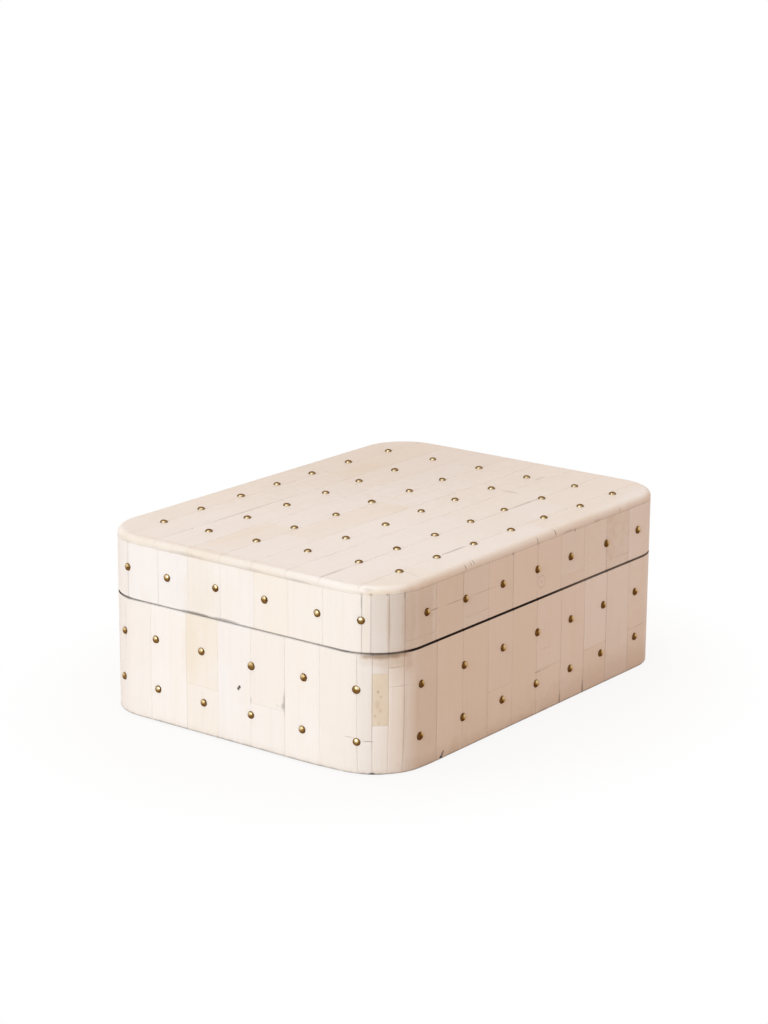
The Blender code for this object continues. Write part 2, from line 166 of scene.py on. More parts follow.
# %% Grids into pieces
def grid(x, y, z):
    """A grid of points from their x, y and z, each of which may be a whole grid, a row of
    values, a column or a number."""
    return np.stack(np.broadcast_arrays(x, y, z), axis=-1)


def grid_faces(rows, columns):
    """The four corners of each cell of a grid that is stored row by row."""
    corner = (np.arange(rows - 1)[:, None] * columns + np.arange(columns - 1)[None, :]).ravel()
    return np.stack([corner, corner + columns, corner + columns + 1, corner + 1], axis=1)


def border(rows, columns):
    """The numbers of a grid's outer points, in order round it, seen from behind."""
    index = np.arange(rows * columns).reshape(rows, columns)
    return np.concatenate([index[0, :-1], index[:-1, -1], index[-1, :0:-1], index[:0:-1, 0]])


def patch(points, tone=(1.0, 1.0, 1.0), worn=0.0, grain=(0.0, 0.0), closed=True):
    """A grid of points with what its finish needs: a tone, how worn it is, and grain places. The wear also
    carries a rim's painted seam shade and a stud's painted reflection.
    """
    rows, columns, _ = points.shape
    count = rows * columns
    return {
        "points": points.reshape(count, 3),
        "faces": grid_faces(rows, columns).tolist(),
        "back": [border(rows, columns).tolist()] if closed else [],
        "tone": np.tile([*tone, 1.0], (count, 1)),
        "worn": np.broadcast_to(worn, (rows, columns)).reshape(count),
        "grain": np.stack([np.broadcast_to(part, (rows, columns)).reshape(count) for part in grain], axis=1),
    }


def place_in_scene(name, data):
    """A new object of a mesh, a lamp or a camera, in the scene."""
    made = bpy.data.objects.new(name, data)
    bpy.context.scene.collection.objects.link(made)
    return made


def shifted(faces, start):
    """The same faces, whose points start at another number."""
    return [[number + start for number in face] for face in faces]


# Faces that meet at more than this angle are shaded with an edge between them
SHARP = math.radians(50)


def piece(name, patches, finish, body, replaced=(), sharp=SHARP):
    """One object from many patches, with its attributes, riding on its body."""
    starts = np.cumsum([0] + [len(item["points"]) for item in patches])
    faces = []
    for item, start in zip(patches, starts):
        faces += shifted(item["faces"], int(start)) + shifted(item["back"], int(start))
    mesh = bpy.data.meshes.new(name)
    mesh.from_pydata(np.concatenate([item["points"] for item in patches]).tolist(), [], faces)
    tones = np.concatenate([item["tone"] for item in patches]).astype(np.float32)
    mesh.attributes.new("tone", "FLOAT_COLOR", "POINT").data.foreach_set("color", tones.ravel())
    worn = np.concatenate([item["worn"] for item in patches]).astype(np.float32)
    mesh.attributes.new("worn", "FLOAT", "POINT").data.foreach_set("value", worn)
    grain = np.concatenate([item["grain"] for item in patches])
    corners = np.zeros(len(mesh.loops), np.int32)
    mesh.loops.foreach_get("vertex_index", corners)
    mesh.uv_layers.new(name="grain").data.foreach_set("uv", grain[corners].astype(np.float32).ravel())
    mesh.shade_smooth()
    mesh.set_sharp_from_angle(angle=sharp)
    mesh.materials.append(finish)
    made = place_in_scene(name, mesh)
    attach(made, body)
    if replaced:
        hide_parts(*replaced)
    return made


# %% [markdown]
# ## Writing shader sums
#
# A finish is a sum of masks: streaks, stains, worn edges. Its nodes could be added and
# linked one by one. Written as sums on a small class, it reads like the mixing of a stain
# instead, and each sum adds the node that works it out.


# %% A small language for shaders
class Wire:
    """A socket in a material's nodes, on which sums are written as on a number."""

    def __init__(self, tree, socket):
        self.tree = tree
        self.socket = socket

    def node(self, kind, settings=None, inputs=None, output=0):
        """Adds a node, sets it up, feeds its inputs with values or wires, and gives one output."""
        made = self.tree.nodes.new(kind)
        for name, value in (settings or {}).items():
            setattr(made, name, value)
        for name, value in (inputs or {}).items():
            if isinstance(value, Wire):
                self.tree.links.new(value.socket, made.inputs[name])
            else:
                made.inputs[name].default_value = value
        return Wire(self.tree, made.outputs[output])

    def math(self, operation, first, second=0.0, clamp=False):
        """One Math node on two values."""
        settings = {"operation": operation, "use_clamp": clamp}
        return self.node("ShaderNodeMath", settings, {0: first, 1: second})

    def __add__(self, other):
        return self.math("ADD", self, other)

    __radd__ = __add__

    def __sub__(self, other):
        return self.math("SUBTRACT", self, other)

    def __rsub__(self, other):
        return self.math("SUBTRACT", other, self)

    def __mul__(self, other):
        return self.math("MULTIPLY", self, other)

    __rmul__ = __mul__

    def clamped(self):
        """The value held between 0 and 1."""
        return self.math("ADD", self, 0.0, clamp=True)

    def step(self, low, high):
        """0 up to low, 1 from high on, and a smooth rise between, or a fall if high is less."""
        kind = {"interpolation_type": "SMOOTHSTEP"}
        ends = {"From Min": low, "From Max": high}
        if low > high:
            ends = {"From Min": high, "From Max": low, "To Min": 1.0, "To Max": 0.0}
        return self.node("ShaderNodeMapRange", kind, {"Value": self, **ends})

    def noise(self, vector, scale, detail=2.0, roughness=0.5):
        """Noise from 0 to 1 at a vector."""
        values = {"Vector": vector, "Scale": scale, "Detail": detail, "Roughness": roughness}
        return self.node("ShaderNodeTexNoise", {}, values, "Fac")

    def stretched(self, vector, scales):
        """A vector with each of its parts multiplied."""
        return self.node("ShaderNodeVectorMath", {"operation": "MULTIPLY"}, {0: vector, 1: scales})

    def streaks(self, vector, scales, detail=2.0, roughness=0.5):
        """Noise drawn out into streaks, by a scale of its own along each axis."""
        return self.noise(self.stretched(vector, scales), 1.0, detail, roughness)

    def attribute(self, name, output="Fac"):
        """What a mesh carries under a name."""
        return self.node("ShaderNodeAttribute", {"attribute_name": name}, output=output)

    def away(self, vector, centre, reach):
        """How far a vector is from a centre, counted in reaches, which may differ by axis."""
        moved = self.node("ShaderNodeVectorMath", {"operation": "SUBTRACT"}, {0: vector, 1: centre})
        scaled = self.stretched(moved, tuple(1 / part for part in reach))
        return self.node("ShaderNodeVectorMath", {"operation": "LENGTH"}, {0: scaled}, "Value")

    def blend(self, first, second, share):
        """The first colour with a share of the second over it. A Mix node has its colours at
        inputs 6 and 7, and gives the mixed one at output 2."""
        kind = {"data_type": "RGBA", "clamp_factor": True}
        under, over = [end if isinstance(end, Wire) else (*end, 1.0) for end in (first, second)]
        return self.node("ShaderNodeMix", kind, {0: share, 6: under, 7: over}, 2)

    def layered(self, colour, layers):
        """A colour with layers of other colours over it, each by its share."""
        for share, over in layers:
            colour = self.blend(colour, over, share)
        return colour


def new_finish(name):
    """A material, its Principled shader, a wire to write sums with, and its Object coordinates."""
    made = bpy.data.materials.new(name)
    made.use_nodes = True
    shader = made.node_tree.nodes["Principled BSDF"]
    pen = Wire(made.node_tree, None)
    place = pen.node("ShaderNodeTexCoord", output="Object")
    return made, shader, pen, place


def feed(pen, shader, **wires):
    """Links wires to the shader's inputs, whose names have _ for a space."""
    for name, wire in wires.items():
        pen.tree.links.new(wire.socket, shader.inputs[name.replace("_", " ")])


def relief(pen, height, depth, strength):
    """A Bump node for a height from 0 to 1 that is so deep, in metres."""
    values = {"Height": height, "Distance": depth, "Strength": strength}
    return pen.node("ShaderNodeBump", {}, values, "Normal")


def tell(*finishes):
    """Prints how many nodes each finish took."""
    for finish in finishes:
        print(f"{finish.name}: {len(finish.node_tree.nodes)} nodes")


# %% [markdown]
# ## Bone
#
# Bone is warm white, a little different from tile to tile. It has fine pale streaks along
# each strip and short dark pores, and it takes a soft polish. Dirt gathers on its worn
# edges. A picture of bone could be wrapped round the box, but it would stretch at the corners
# and repeat. Here a tile's own tone comes from its mesh, the streaks from its grain map, and
# the stains and cracks of this one box are placed on it one by one.

# %% Places on this box
# They are in mm from the corner nearest the camera, at the height of the seam.
def near_corner(x, y, z):
    """A place in the box's frame, from mm along the long face, along the short face, and up."""
    return (x * MM - LENGTH / 2, y * MM - WIDTH / 2, SEAM_Z + z * MM)


# %% Chips and holes that have gone black
# Each mark: its middle, how far it reaches along X, Y and Z in mm, and how strong it is
BLACK_MARKS = [
    ((35.5, 0.0, -48.1), (1.15, 1.2, 1.10), 1.0),
    ((36.2, 0.0, -47.1), (0.65, 1.0, 0.90), 1.0),
    ((36.9, 0.0, -46.3), (0.50, 1.0, 0.80), 0.9),
    ((4.6, 10.2, -48.7), (1.8, 1.8, 1.1), 1.0),
    ((0.0, 71.5, -25.2), (1.0, 0.85, 0.85), 0.95),
    ((0.0, 72.1, -26.1), (1.0, 0.75, 0.80), 0.90),
]
print(f"{len(BLACK_MARKS)} chips and holes")

# %% Stains, smears, hair cracks, a darker foot, and painted shade along the seam and under the lid's lip
DARK_MARKS = [
    # This one darkens the foot of the tiles all round
    ((100.0, 73.0, -49.2), (300.0, 220.0, 1.3), 0.62),
    ((117.9, 0.0, -48.5), (0.9, 1.0, 6.0), 0.42),
    ((134.9, 0.0, -48.5), (1.0, 1.0, 7.0), 0.50),
    ((0.0, 49.3, -26.6), (1.0, 0.6, 4.2), 0.28),
    ((0.0, 49.8, -28.4), (1.0, 0.9, 1.7), 0.34),
    ((0.0, 52.0, -28.6), (1.0, 2.2, 0.6), 0.10),
    ((0.0, 65.7, -29.4), (1.0, 0.28, 2.0), 0.45),
    ((30.4, 0.0, 13.0), (2.8, 0.8, 0.24), 0.60),
    ((43.0, 0.0, 12.7), (7.5, 0.8, 0.22), 0.42),
    ((62.5, 0.0, 12.4), (11.0, 0.8, 0.20), 0.30),
    ((3.4, 10.8, -35.0), (2.2, 3.2, 0.28), 0.38),
    ((0.2, 17.0, -33.9), (1.2, 3.6, 0.30), 0.34),
    ((12.5, 2.6, -13.3), (7.5, 4.0, 0.22), 0.24),
    ((0.0, 75.0, 23.3), (1.2, 56.0, 0.40), 0.10),
    ((0.0, 98.0, 23.7), (1.4, 9.0, 1.0), 0.14),
    ((0.0, 42.5, 23.3), (1.4, 7.0, 0.7), 0.18),
    ((0.0, 64.0, 23.7), (1.4, 5.0, 0.9), 0.10),
    # These two are painted shade, which widens the seam along the left face
    ((0.0, 78.5, 0.7), (1.0, 8.0, 0.7), 0.45),
    ((0.0, 93.0, 0.5), (1.0, 10.0, 0.7), 0.60),
    # This one is painted shadow under the lid's lip at the near corner
    ((6.8, 6.4, -0.9), (9.5, 9.5, 1.1), 0.40),
    ((1.8, 13.1, 20.5), (0.35, 0.45, 4.0), 0.30),
    ((50.4, 0.6, 24.6), (0.35, 2.0, 1.5), 0.65),
    ((54.3, 0.8, 25.2), (0.32, 2.0, 1.1), 0.60),
    ((56.2, 0.8, 25.4), (0.32, 2.0, 1.1), 0.60),
    ((82.2, 0.3, 22.9), (0.8, 1.4, 0.9), 0.40),
    ((99.6, 0.6, 24.4), (0.35, 2.0, 1.9), 0.65),
    ((112.5, 0.6, 24.8), (0.35, 2.0, 1.9), 0.72),
    ((121.5, 0.4, 23.6), (5.0, 1.4, 0.5), 0.30),
    ((126.4, 0.4, 23.0), (0.9, 1.4, 0.9), 0.45),
    ((143.0, 0.4, 23.4), (3.2, 1.4, 0.8), 0.22),
    ((160.3, 0.6, 24.2), (0.9, 1.6, 1.0), 0.26),
    ((101.2, 0.0, -30.9), (2.8, 1.0, 0.5), 0.34),
    ((106.5, 0.0, -31.0), (4.5, 1.0, 0.35), 0.20),
    ((106.5, 0.0, -22.1), (5.0, 1.0, 0.30), 0.12),
    ((3.5, 9.9, 23.2), (0.6, 0.8, 0.6), 0.34),
    ((7.5, 5.3, 23.0), (0.6, 0.7, 0.7), 0.34),
    ((13.5, 1.7, 22.3), (0.6, 0.8, 1.8), 0.30),
    ((149.8, 48.4, 26.2), (0.7, 5.8, 0.8), 0.42),
    ((176.5, 51.0, 26.2), (5.0, 1.2, 0.8), 0.18),
    ((63.0, 14.4, 26.2), (9.5, 0.8, 0.8), 0.30),
    ((137.0, 32.6, 26.2), (14.0, 0.9, 0.8), 0.26),
    ((9.0, 32.6, 26.2), (10.0, 0.9, 0.8), 0.20),
    ((55.0, 115.3, 26.2), (26.0, 0.9, 0.8), 0.14),
    ((23.0, 115.2, 26.2), (0.9, 0.6, 0.8), 0.45),
]
print(f"{len(DARK_MARKS)} stains, smears and cracks")

# %% Patches that have gone yellow or stayed pale, painted shade on the rounded top edge, and painted light over the front
WARM_MARKS = [
    ((144.0, 122.0, 26.2), (13.0, 7.0, 1.5), 0.30),
    ((98.0, 69.0, 26.2), (9.0, 4.5, 1.5), 0.20),
    ((28.0, 94.0, 26.2), (26.0, 4.5, 1.5), 0.20),
    ((0.0, 92.0, 12.0), (1.0, 11.0, 20.0), 0.20),
    ((0.0, 97.0, -15.0), (1.0, 6.0, 18.0), 0.26),
    # These four tone the rounded edge of the top: yellowed bone with painted shade
    ((1.0, 75.0, 24.6), (4.5, 110.0, 2.6), 0.30),
    ((5.5, 7.3, 24.2), (8.0, 7.0, 1.6), 0.50),
    ((14.0, 5.0, 25.2), (46.0, 20.0, 2.8), 0.42),
    ((90.0, 0.8, 25.0), (110.0, 3.2, 2.2), 0.24),
]
PALE_MARKS = [
    ((30.2, 0.0, 12.0), (1.8, 1.0, 18.0), 0.38),
    # This one is painted light: the far end of the front is lighter
    ((206.0, 0.0, 2.0), (80.0, 12.0, 50.0), 0.80),
    # This one makes the top paler towards its near corner
    ((26.0, 14.0, 26.2), (90.0, 66.0, 3.0), 0.30),
    # This one is a painted highlight along the rounded edge over the front
    ((112.0, 0.0, 24.1), (100.0, 2.5, 1.5), 0.60),
]
print(f"{len(WARM_MARKS)} yellow patches and {len(PALE_MARKS)} pale ones")

# %% Patches that have gone brown, shade that dirt leaves beside a joint, a browner foot, and painted shade under the lid's lip and on the rounded top edge
BROWN_MARKS = [
    ((5.2, 7.6, -15.0), (0.6, 0.8, 0.8), 0.80),
    ((5.9, 6.8, -17.0), (0.5, 0.6, 0.7), 0.45),
    ((5.0, 7.9, -20.0), (0.8, 1.1, 1.8), 0.30),
    ((5.8, 6.9, -22.5), (0.6, 0.7, 1.2), 0.30),
    ((4.4, 8.4, -24.5), (0.6, 0.8, 1.0), 0.45),
    ((5.4, 7.4, -27.5), (0.5, 0.6, 0.9), 0.28),
    # These four are painted shadow under the lid's lip at the near corner
    ((6.8, 6.4, -1.2), (11.0, 11.0, 1.7), 0.75),
    ((6.4, 6.8, -3.0), (10.0, 10.0, 2.8), 0.24),
    ((11.5, 2.8, -0.9), (5.5, 5.0, 1.2), 0.45),
    ((13.6, 1.8, -3.0), (5.0, 4.0, 6.0), 0.20),
    # This one is painted shade on the rounded top edge near the corner
    ((14.5, 2.0, 24.0), (6.0, 4.0, 1.4), 0.25),
    ((26.9, 10.4, 26.2), (0.55, 3.2, 0.8), 0.50),
    ((25.5, 5.0, 26.1), (0.55, 3.4, 0.9), 0.50),
    ((10.3, 3.4, -5.7), (4.0, 3.4, 0.5), 0.40),
    # This one spreads the painted shadow under the lid's lip further down
    ((12.0, 3.0, -5.0), (11.0, 7.0, 9.0), 0.14),
    ((3.0, 10.8, 25.0), (1.7, 3.0, 0.9), 0.40),
    ((16.0, 0.9, 10.0), (3.4, 2.6, 22.0), 0.32),
    ((7.9, 4.9, 12.0), (1.1, 1.2, 13.0), 0.32),
    ((20.2, 0.3, -22.0), (1.8, 1.0, 16.0), 0.14),
    # These five make the foot browner, all round and along the front
    ((100.0, 73.0, -49.5), (300.0, 220.0, 3.4), 0.15),
    ((24.0, 1.0, -48.0), (30.0, 4.0, 5.5), 0.16),
    ((44.7, 0.0, -44.5), (3.6, 1.0, 3.0), 0.14),
    ((62.0, 0.0, -49.0), (45.0, 3.0, 5.0), 0.16),
    ((160.0, 0.0, -50.0), (90.0, 9.0, 15.0), 0.24),
    # This one makes the top browner towards its far corner
    ((196.0, 128.0, 26.2), (140.0, 95.0, 4.0), 0.17),
    # This one is painted shade on the rounded edge over the left face
    ((1.0, 75.0, 24.9), (4.5, 110.0, 2.6), 0.16),
    ((13.6, 1.6, 12.0), (1.8, 1.6, 15.0), 0.26),
    ((13.6, 1.6, -25.0), (1.5, 1.4, 26.0), 0.14),
    ((4.9, 8.0, -18.0), (3.2, 3.6, 10.0), 0.10),
    ((96.0, 145.5, 26.1), (120.0, 1.4, 0.9), 0.30),
    ((198.7, 73.0, 26.1), (1.4, 90.0, 0.9), 0.30),
]
print(f"{len(BROWN_MARKS)} brown patches and shades")

# %% The knot, the rims with lighter painted seam shade, and the colours of bone
# The knot: its middle, and the radius of its ring in mm
KNOT = (103.0, 0.0, 6.7)
KNOT_RADIUS = 2.5
# Rims where the painted seam shade is lighter: along the left face, at the near corner and far off
LIGHTER_SEAM_SHADE = [
    ((0.0, 75.0, 0.0), (8.0, 78.0, 4.0), 0.8),
    ((6.0, 8.0, 0.0), (14.0, 14.0, 4.0), 0.5),
    ((175.0, 0.0, 0.0), (75.0, 8.0, 4.0), 0.3),
]
print(f"a knot and {len(LIGHTER_SEAM_SHADE)} cleaned rims")

BONE_GREY = (0.35, 0.26, 0.21)
# Dark stains, and painted shade along the seam and under the lid's lip
BONE_STAIN_AND_SHADE = (0.10, 0.07, 0.05)
BONE_BLACK = (0.02, 0.015, 0.01)
BONE_WARM = (0.80, 0.66, 0.46)
BONE_BROWN = (0.52, 0.36, 0.24)
BONE_PALE = (0.92, 0.88, 0.84)
BONE_PINK = (0.88, 0.77, 0.71)
# The painted shade of the seam, on the arrises of the rims
RIM_PAINTED_SHADE = (0.022, 0.009, 0.005)

# How fine the noises are, per metre along the grain and across it
STREAK_SCALES = (60.0, 1100.0, 1.0)
BAND_SCALES = (14.0, 230.0, 1.0)
BROAD_SCALES = (9.0, 420.0, 1.0)
PORE_SCALES = (420.0, 4200.0, 1.0)
# How fine the clouds and the grime are, per metre in any direction
CLOUD_SCALE = 38.0
GRIME_SCALE = 260.0

# %% Joints that have gone dark
# As for a mark: its middle, how far it reaches and how strong it is
DARK_JOINTS = [
    ((110.0, 0.0, -12.0), (260.0, 4.0, 110.0), 0.35),
    ((1.8, 13.1, 12.0), (1.5, 1.5, 16.0), 0.9),
    ((3.5, 9.9, 12.0), (1.5, 1.5, 16.0), 0.5),
    ((1.0, 14.7, -8.0), (1.5, 2.0, 9.0), 0.5),
    ((1.0, 14.7, -42.0), (1.5, 2.0, 9.0), 0.6),
    ((3.8, 9.5, -24.0), (1.5, 1.8, 30.0), 0.5),
    ((8.0, 4.9, 12.0), (1.8, 1.8, 16.0), 0.7),
    ((13.6, 1.6, 12.0), (1.8, 1.8, 16.0), 0.5),
    ((13.6, 1.6, -30.0), (1.8, 1.8, 24.0), 0.4),
    ((0.5, 129.5, 10.0), (2.0, 2.5, 18.0), 0.9),
    ((0.5, 131.5, -14.0), (2.0, 3.0, 16.0), 0.6),
    ((0.5, 48.8, -27.0), (2.0, 2.0, 7.0), 0.9),
    ((32.4, 0.0, -24.0), (2.0, 1.0, 36.0), 0.5),
    ((49.0, 0.0, 17.0), (2.0, 1.0, 8.0), 0.9),
    ((66.0, 0.0, -30.0), (2.0, 1.0, 20.0), 0.3),
    ((82.8, 0.0, 10.0), (1.5, 1.0, 18.0), 0.6),
    ((99.8, 0.0, 17.0), (2.0, 1.0, 10.0), 0.7),
    ((118.0, 0.0, -28.0), (2.0, 1.0, 26.0), 0.45),
    ((135.3, 0.0, -30.0), (2.0, 1.0, 24.0), 0.45),
    ((152.0, 0.0, -22.0), (2.0, 1.0, 26.0), 0.7),
    ((169.3, 0.0, -38.0), (2.0, 1.0, 12.0), 0.8),
    ((150.8, 0.0, 8.0), (2.0, 1.0, 14.0), 0.7),
    ((167.8, 0.0, 8.0), (2.0, 1.0, 14.0), 0.7),
    ((177.0, 0.0, -30.1), (9.0, 1.0, 1.0), 0.8),
    ((109.0, 0.0, -30.6), (9.0, 1.0, 1.0), 0.7),
    ((0.0, 75.0, 23.3), (2.0, 70.0, 1.2), 0.15),
    ((63.0, 14.5, 26.2), (10.0, 2.0, 1.0), 0.9),
    ((10.0, 14.5, 26.2), (9.0, 2.0, 1.0), 0.3),
    ((9.0, 32.4, 26.2), (11.0, 2.0, 1.0), 0.5),
    ((40.0, 32.4, 26.2), (6.0, 2.0, 1.0), 0.5),
    ((112.0, 32.4, 26.2), (12.0, 2.0, 1.0), 0.5),
    ((137.0, 32.4, 26.2), (15.0, 2.0, 1.0), 0.9),
    ((170.0, 32.4, 26.2), (14.0, 2.0, 1.0), 0.3),
    ((4.5, 48.6, 26.2), (6.0, 2.0, 1.0), 0.4),
    ((26.5, 48.6, 26.2), (6.0, 2.0, 1.0), 0.4),
    ((9.0, 81.6, 26.2), (9.0, 2.0, 1.0), 0.5),
    ((18.0, 115.3, 26.2), (6.0, 2.0, 1.0), 0.7),
    ((57.0, 115.3, 26.2), (28.0, 2.0, 1.0), 0.7),
]
print(f"{len(DARK_JOINTS)} dark joints")


# %% Marks that spread: stains, and painted shade and light
def from_mark(pen, place, middle, reach):
    """How far a place is from a mark's middle, counted in its reaches."""
    return pen.away(place, near_corner(*middle), tuple(part * MM for part in reach))


def spread(pen, place, marks, ragged=0.0, gone=1.1, whole=0.35):
    """For each mark, its strength from its middle out to the whole share of its reach, and
    nothing from the share where it is gone, with a ragged edge between."""
    return [
        (from_mark(pen, place, middle, reach) + ragged).step(gone, whole) * strength
        for middle, reach, strength in marks
    ]


# %% The bone finish
def bone_finish():
    """Tile tone, streaks along the grain, pores, clouds, worn edges, stains and cracks, and painted shade and
    light.

    The worn attribute is 0 on a face, rises to 1 at a joint and is 2 on a rim, whose arris is
    painted dark as the shade of the seam.
    """
    made, shader, pen, place = new_finish("polished_bone")
    tone = pen.attribute("tone", "Color")
    worn = pen.attribute("worn")
    grain = pen.node("ShaderNodeUVMap", {"uv_map": "grain"})
    streaks = pen.streaks(grain, STREAK_SCALES, 3.0, 0.6)
    bands = pen.streaks(grain, BAND_SCALES)
    broad = pen.streaks(grain, BROAD_SCALES, 2.0, 0.6)
    pores = pen.streaks(grain, PORE_SCALES, 1.0).step(0.68, 0.76)
    cloud = pen.noise(place, CLOUD_SCALE, 3.0, 0.55)
    grime = pen.noise(place, GRIME_SCALE, 3.0, 0.6)
    ragged = (grime - 0.5) * 0.9
    colour = pen.layered(tone, [
        (cloud.step(0.45, 0.75) * 0.22, BONE_PALE),
        (bands.step(0.50, 0.72) * 0.08, BONE_WARM),
        (bands.step(0.50, 0.30) * 0.12, BONE_PINK),
        (broad.step(0.50, 0.78) * 0.035, BONE_GREY),
        (streaks.step(0.48, 0.72) * 0.03, BONE_GREY),
        (pores * 0.05, BONE_GREY),
    ])
    for marks, mark_colour in ((WARM_MARKS, BONE_WARM), (BROWN_MARKS, BONE_BROWN), (PALE_MARKS, BONE_PALE)):
        colour = pen.layered(colour, [(share, mark_colour) for share in spread(pen, place, marks, ragged)])
    edge = worn.clamped()
    dirty = sum(spread(pen, place, DARK_JOINTS, ragged * 0.5))
    soiled = (grime.step(0.40, 0.70) * 0.12 + dirty * 0.45).clamped()
    colour = pen.blend(colour, BONE_GREY, edge * edge * soiled)
    sharper = ragged * 0.7
    for marks, mark_colour in ((DARK_MARKS, BONE_STAIN_AND_SHADE), (BLACK_MARKS, BONE_BLACK)):
        colour = pen.layered(colour, [(share, mark_colour) for share in spread(pen, place, marks, sharper)])
    from_knot = from_mark(pen, place, KNOT, (1.0, 1.0, 1.0))
    from_ring = pen.math("ABSOLUTE", from_knot - KNOT_RADIUS)
    # Where the wear passes 1, a rim's arris is painted dark as the shade of the seam, less where that shade
    # is eased
    stained = worn.step(1.0, 1.6)
    shade_eased = sum(spread(pen, place, LIGHTER_SEAM_SHADE, gone=1.0, whole=0.5))
    colour = pen.layered(colour, [
        (from_ring.step(0.45, 0.05) * 0.28, BONE_GREY),
        (from_knot.step(0.9, 0.2) * 0.30, BONE_GREY),
        (stained * (1 - shade_eased), RIM_PAINTED_SHADE),
    ])
    rough = grime * 0.10 + streaks * 0.08 + 0.34 + stained * 0.45
    normal = relief(pen, streaks * 0.5 + cloud * 0.5 - pores * 0.6, 0.03 * MM, 0.5)
    feed(pen, shader, Base_Color=colour, Roughness=rough, Normal=normal)
    shader.inputs["Specular IOR Level"].default_value = 0.35
    return made


BONE = bone_finish()
tell(BONE)

# %% [markdown]
# ## Filler between the tiles
#
# Glue and grime fill the joints. Most of them are a faint line, and here and there one has
# gone dark. The joints could be lines painted on a plain face, but real gaps hold their
# shade when the light or the camera moves. So a bed of filler lies a twentieth of a
# millimetre under the face, and the tiles have gaps over it.

# %% The filler finish
FILLER_PALE = (0.60, 0.49, 0.39)
FILLER_DARK = (0.07, 0.055, 0.045)


def filler_finish():
    """Pale glue that noise and a few chosen places turn dark."""
    made, shader, pen, place = new_finish("joint_filler")
    cloud = pen.noise(place, 90.0, 3.0, 0.6)
    dark = cloud.step(0.52, 0.75) * 0.45 + sum(spread(pen, place, DARK_JOINTS, (cloud - 0.5) * 0.5))
    colour = pen.blend(FILLER_PALE, FILLER_DARK, dark.clamped())
    rough = cloud * 0.1 + 0.75
    feed(pen, shader, Base_Color=colour, Roughness=rough)
    return made


FILLER = filler_finish()
tell(FILLER)

# %% [markdown]
# ## Brass
#
# The studs are domed pins of unlacquered brass with some tarnish. Each dome has a painted
# reflection: a painted highlight on the side that faces one direction, and painted dark
# reflection with the tarnish on the rest. Noise alone can't tell one side of a dome from the
# other, so this comes with its mesh, and noise only breaks it up. The studs on top have a
# paler painted reflection of their own. The hinges are the same brass.


# %% The brass finish
def brass_finish(name, bright, middle, dark):
    """Brass from a painted highlight where the wear is low, over its own colour, to painted dark reflection
    and tarnish where it is high.
    """
    made, shader, pen, place = new_finish(name)
    patches = pen.noise(place, 900.0, 3.0, 0.6)
    fine = pen.noise(place, 5200.0)
    share = (pen.attribute("worn") * 0.9 + patches.step(0.45, 0.80) * 0.22).clamped()
    colour = pen.layered(bright, [(share.step(0.0, 0.5), middle), (share.step(0.45, 0.95), dark)])
    rough = 0.22 + share * 0.25 + fine * 0.08
    shader.inputs["Metallic"].default_value = 1.0
    shader.inputs["Specular Tint"].default_value = (*middle, 1.0)
    feed(pen, shader, Base_Color=colour, Roughness=rough, Normal=relief(pen, fine, 0.01 * MM, 0.4))
    return made


# For the studs these are a painted highlight, the brass, and painted dark reflection with tarnish. Those on
# top are paler, for a paler painted reflection.
STUD_BRASS = brass_finish(
    "stud_brass", bright=(0.82, 0.66, 0.43), middle=(0.50, 0.31, 0.11), dark=(0.125, 0.050, 0.012)
)
TOP_BRASS_PALER_REFLECTION = brass_finish(
    "top_stud_brass", bright=(0.60, 0.46, 0.31), middle=(0.46, 0.31, 0.15), dark=(0.15, 0.083, 0.036)
)
HINGE_BRASS = brass_finish(
    "hinge_brass", bright=(0.66, 0.47, 0.20), middle=(0.42, 0.28, 0.11), dark=(0.10, 0.06, 0.03)
)
tell(STUD_BRASS, TOP_BRASS_PALER_REFLECTION, HINGE_BRASS)

# %% [markdown]
# ## The side tiles
#
# A strip of bone stands on end, and some strips are cut into two or three tiles. One sheet
# with grooves would be quicker, but tiles that are shapes of their own have worn edges and
# lie a little unevenly, as hand-laid ones do. The joints of the two faces that show were read
# off the box, and the other half of the way round repeats them, turned by half a turn, with
# tones of its own.

# %% Where the side joints are
# Ways in mm from where the near corner starts, first on the left face, and then, past the
# four joints of the corner, on the front
BASE_WAYS = [
    -110.3, -95.9, -77.1, -60.9, -44.0, -27.1, -10.0, 7.1, 13.1, 19.4, 25.9, 44.8, 61.9,
    78.9, 95.8, 112.9, 130.4, 147.7, 164.4, 181.7, 198.6, 205.0, 211.4,
]
LID_WAYS = [
    -107.9, -91.5, -75.8, -59.2, -42.1, -25.3, -8.4, 9.0, 12.5, 19.4, 26.0, 43.9, 61.4,
    78.4, 95.2, 112.3, 129.2, 146.4, 163.2, 180.2, 197.3, 204.0, 212.4,
]
# Heights of the butt joints from the seam, in mm, for each strip that has any
BASE_BUTTS = {
    2: (-29.4,), 4: (-30.6,), 7: (-35.0,), 8: (-8.0, -28.6), 9: (-5.6,),
    13: (-30.4,), 15: (-30.4,), 17: (-30.6,), 19: (-30.2,),
}
LID_BUTTS = {10: (4.0,), 12: (4.5,), 16: (4.9,), 18: (4.4,)}
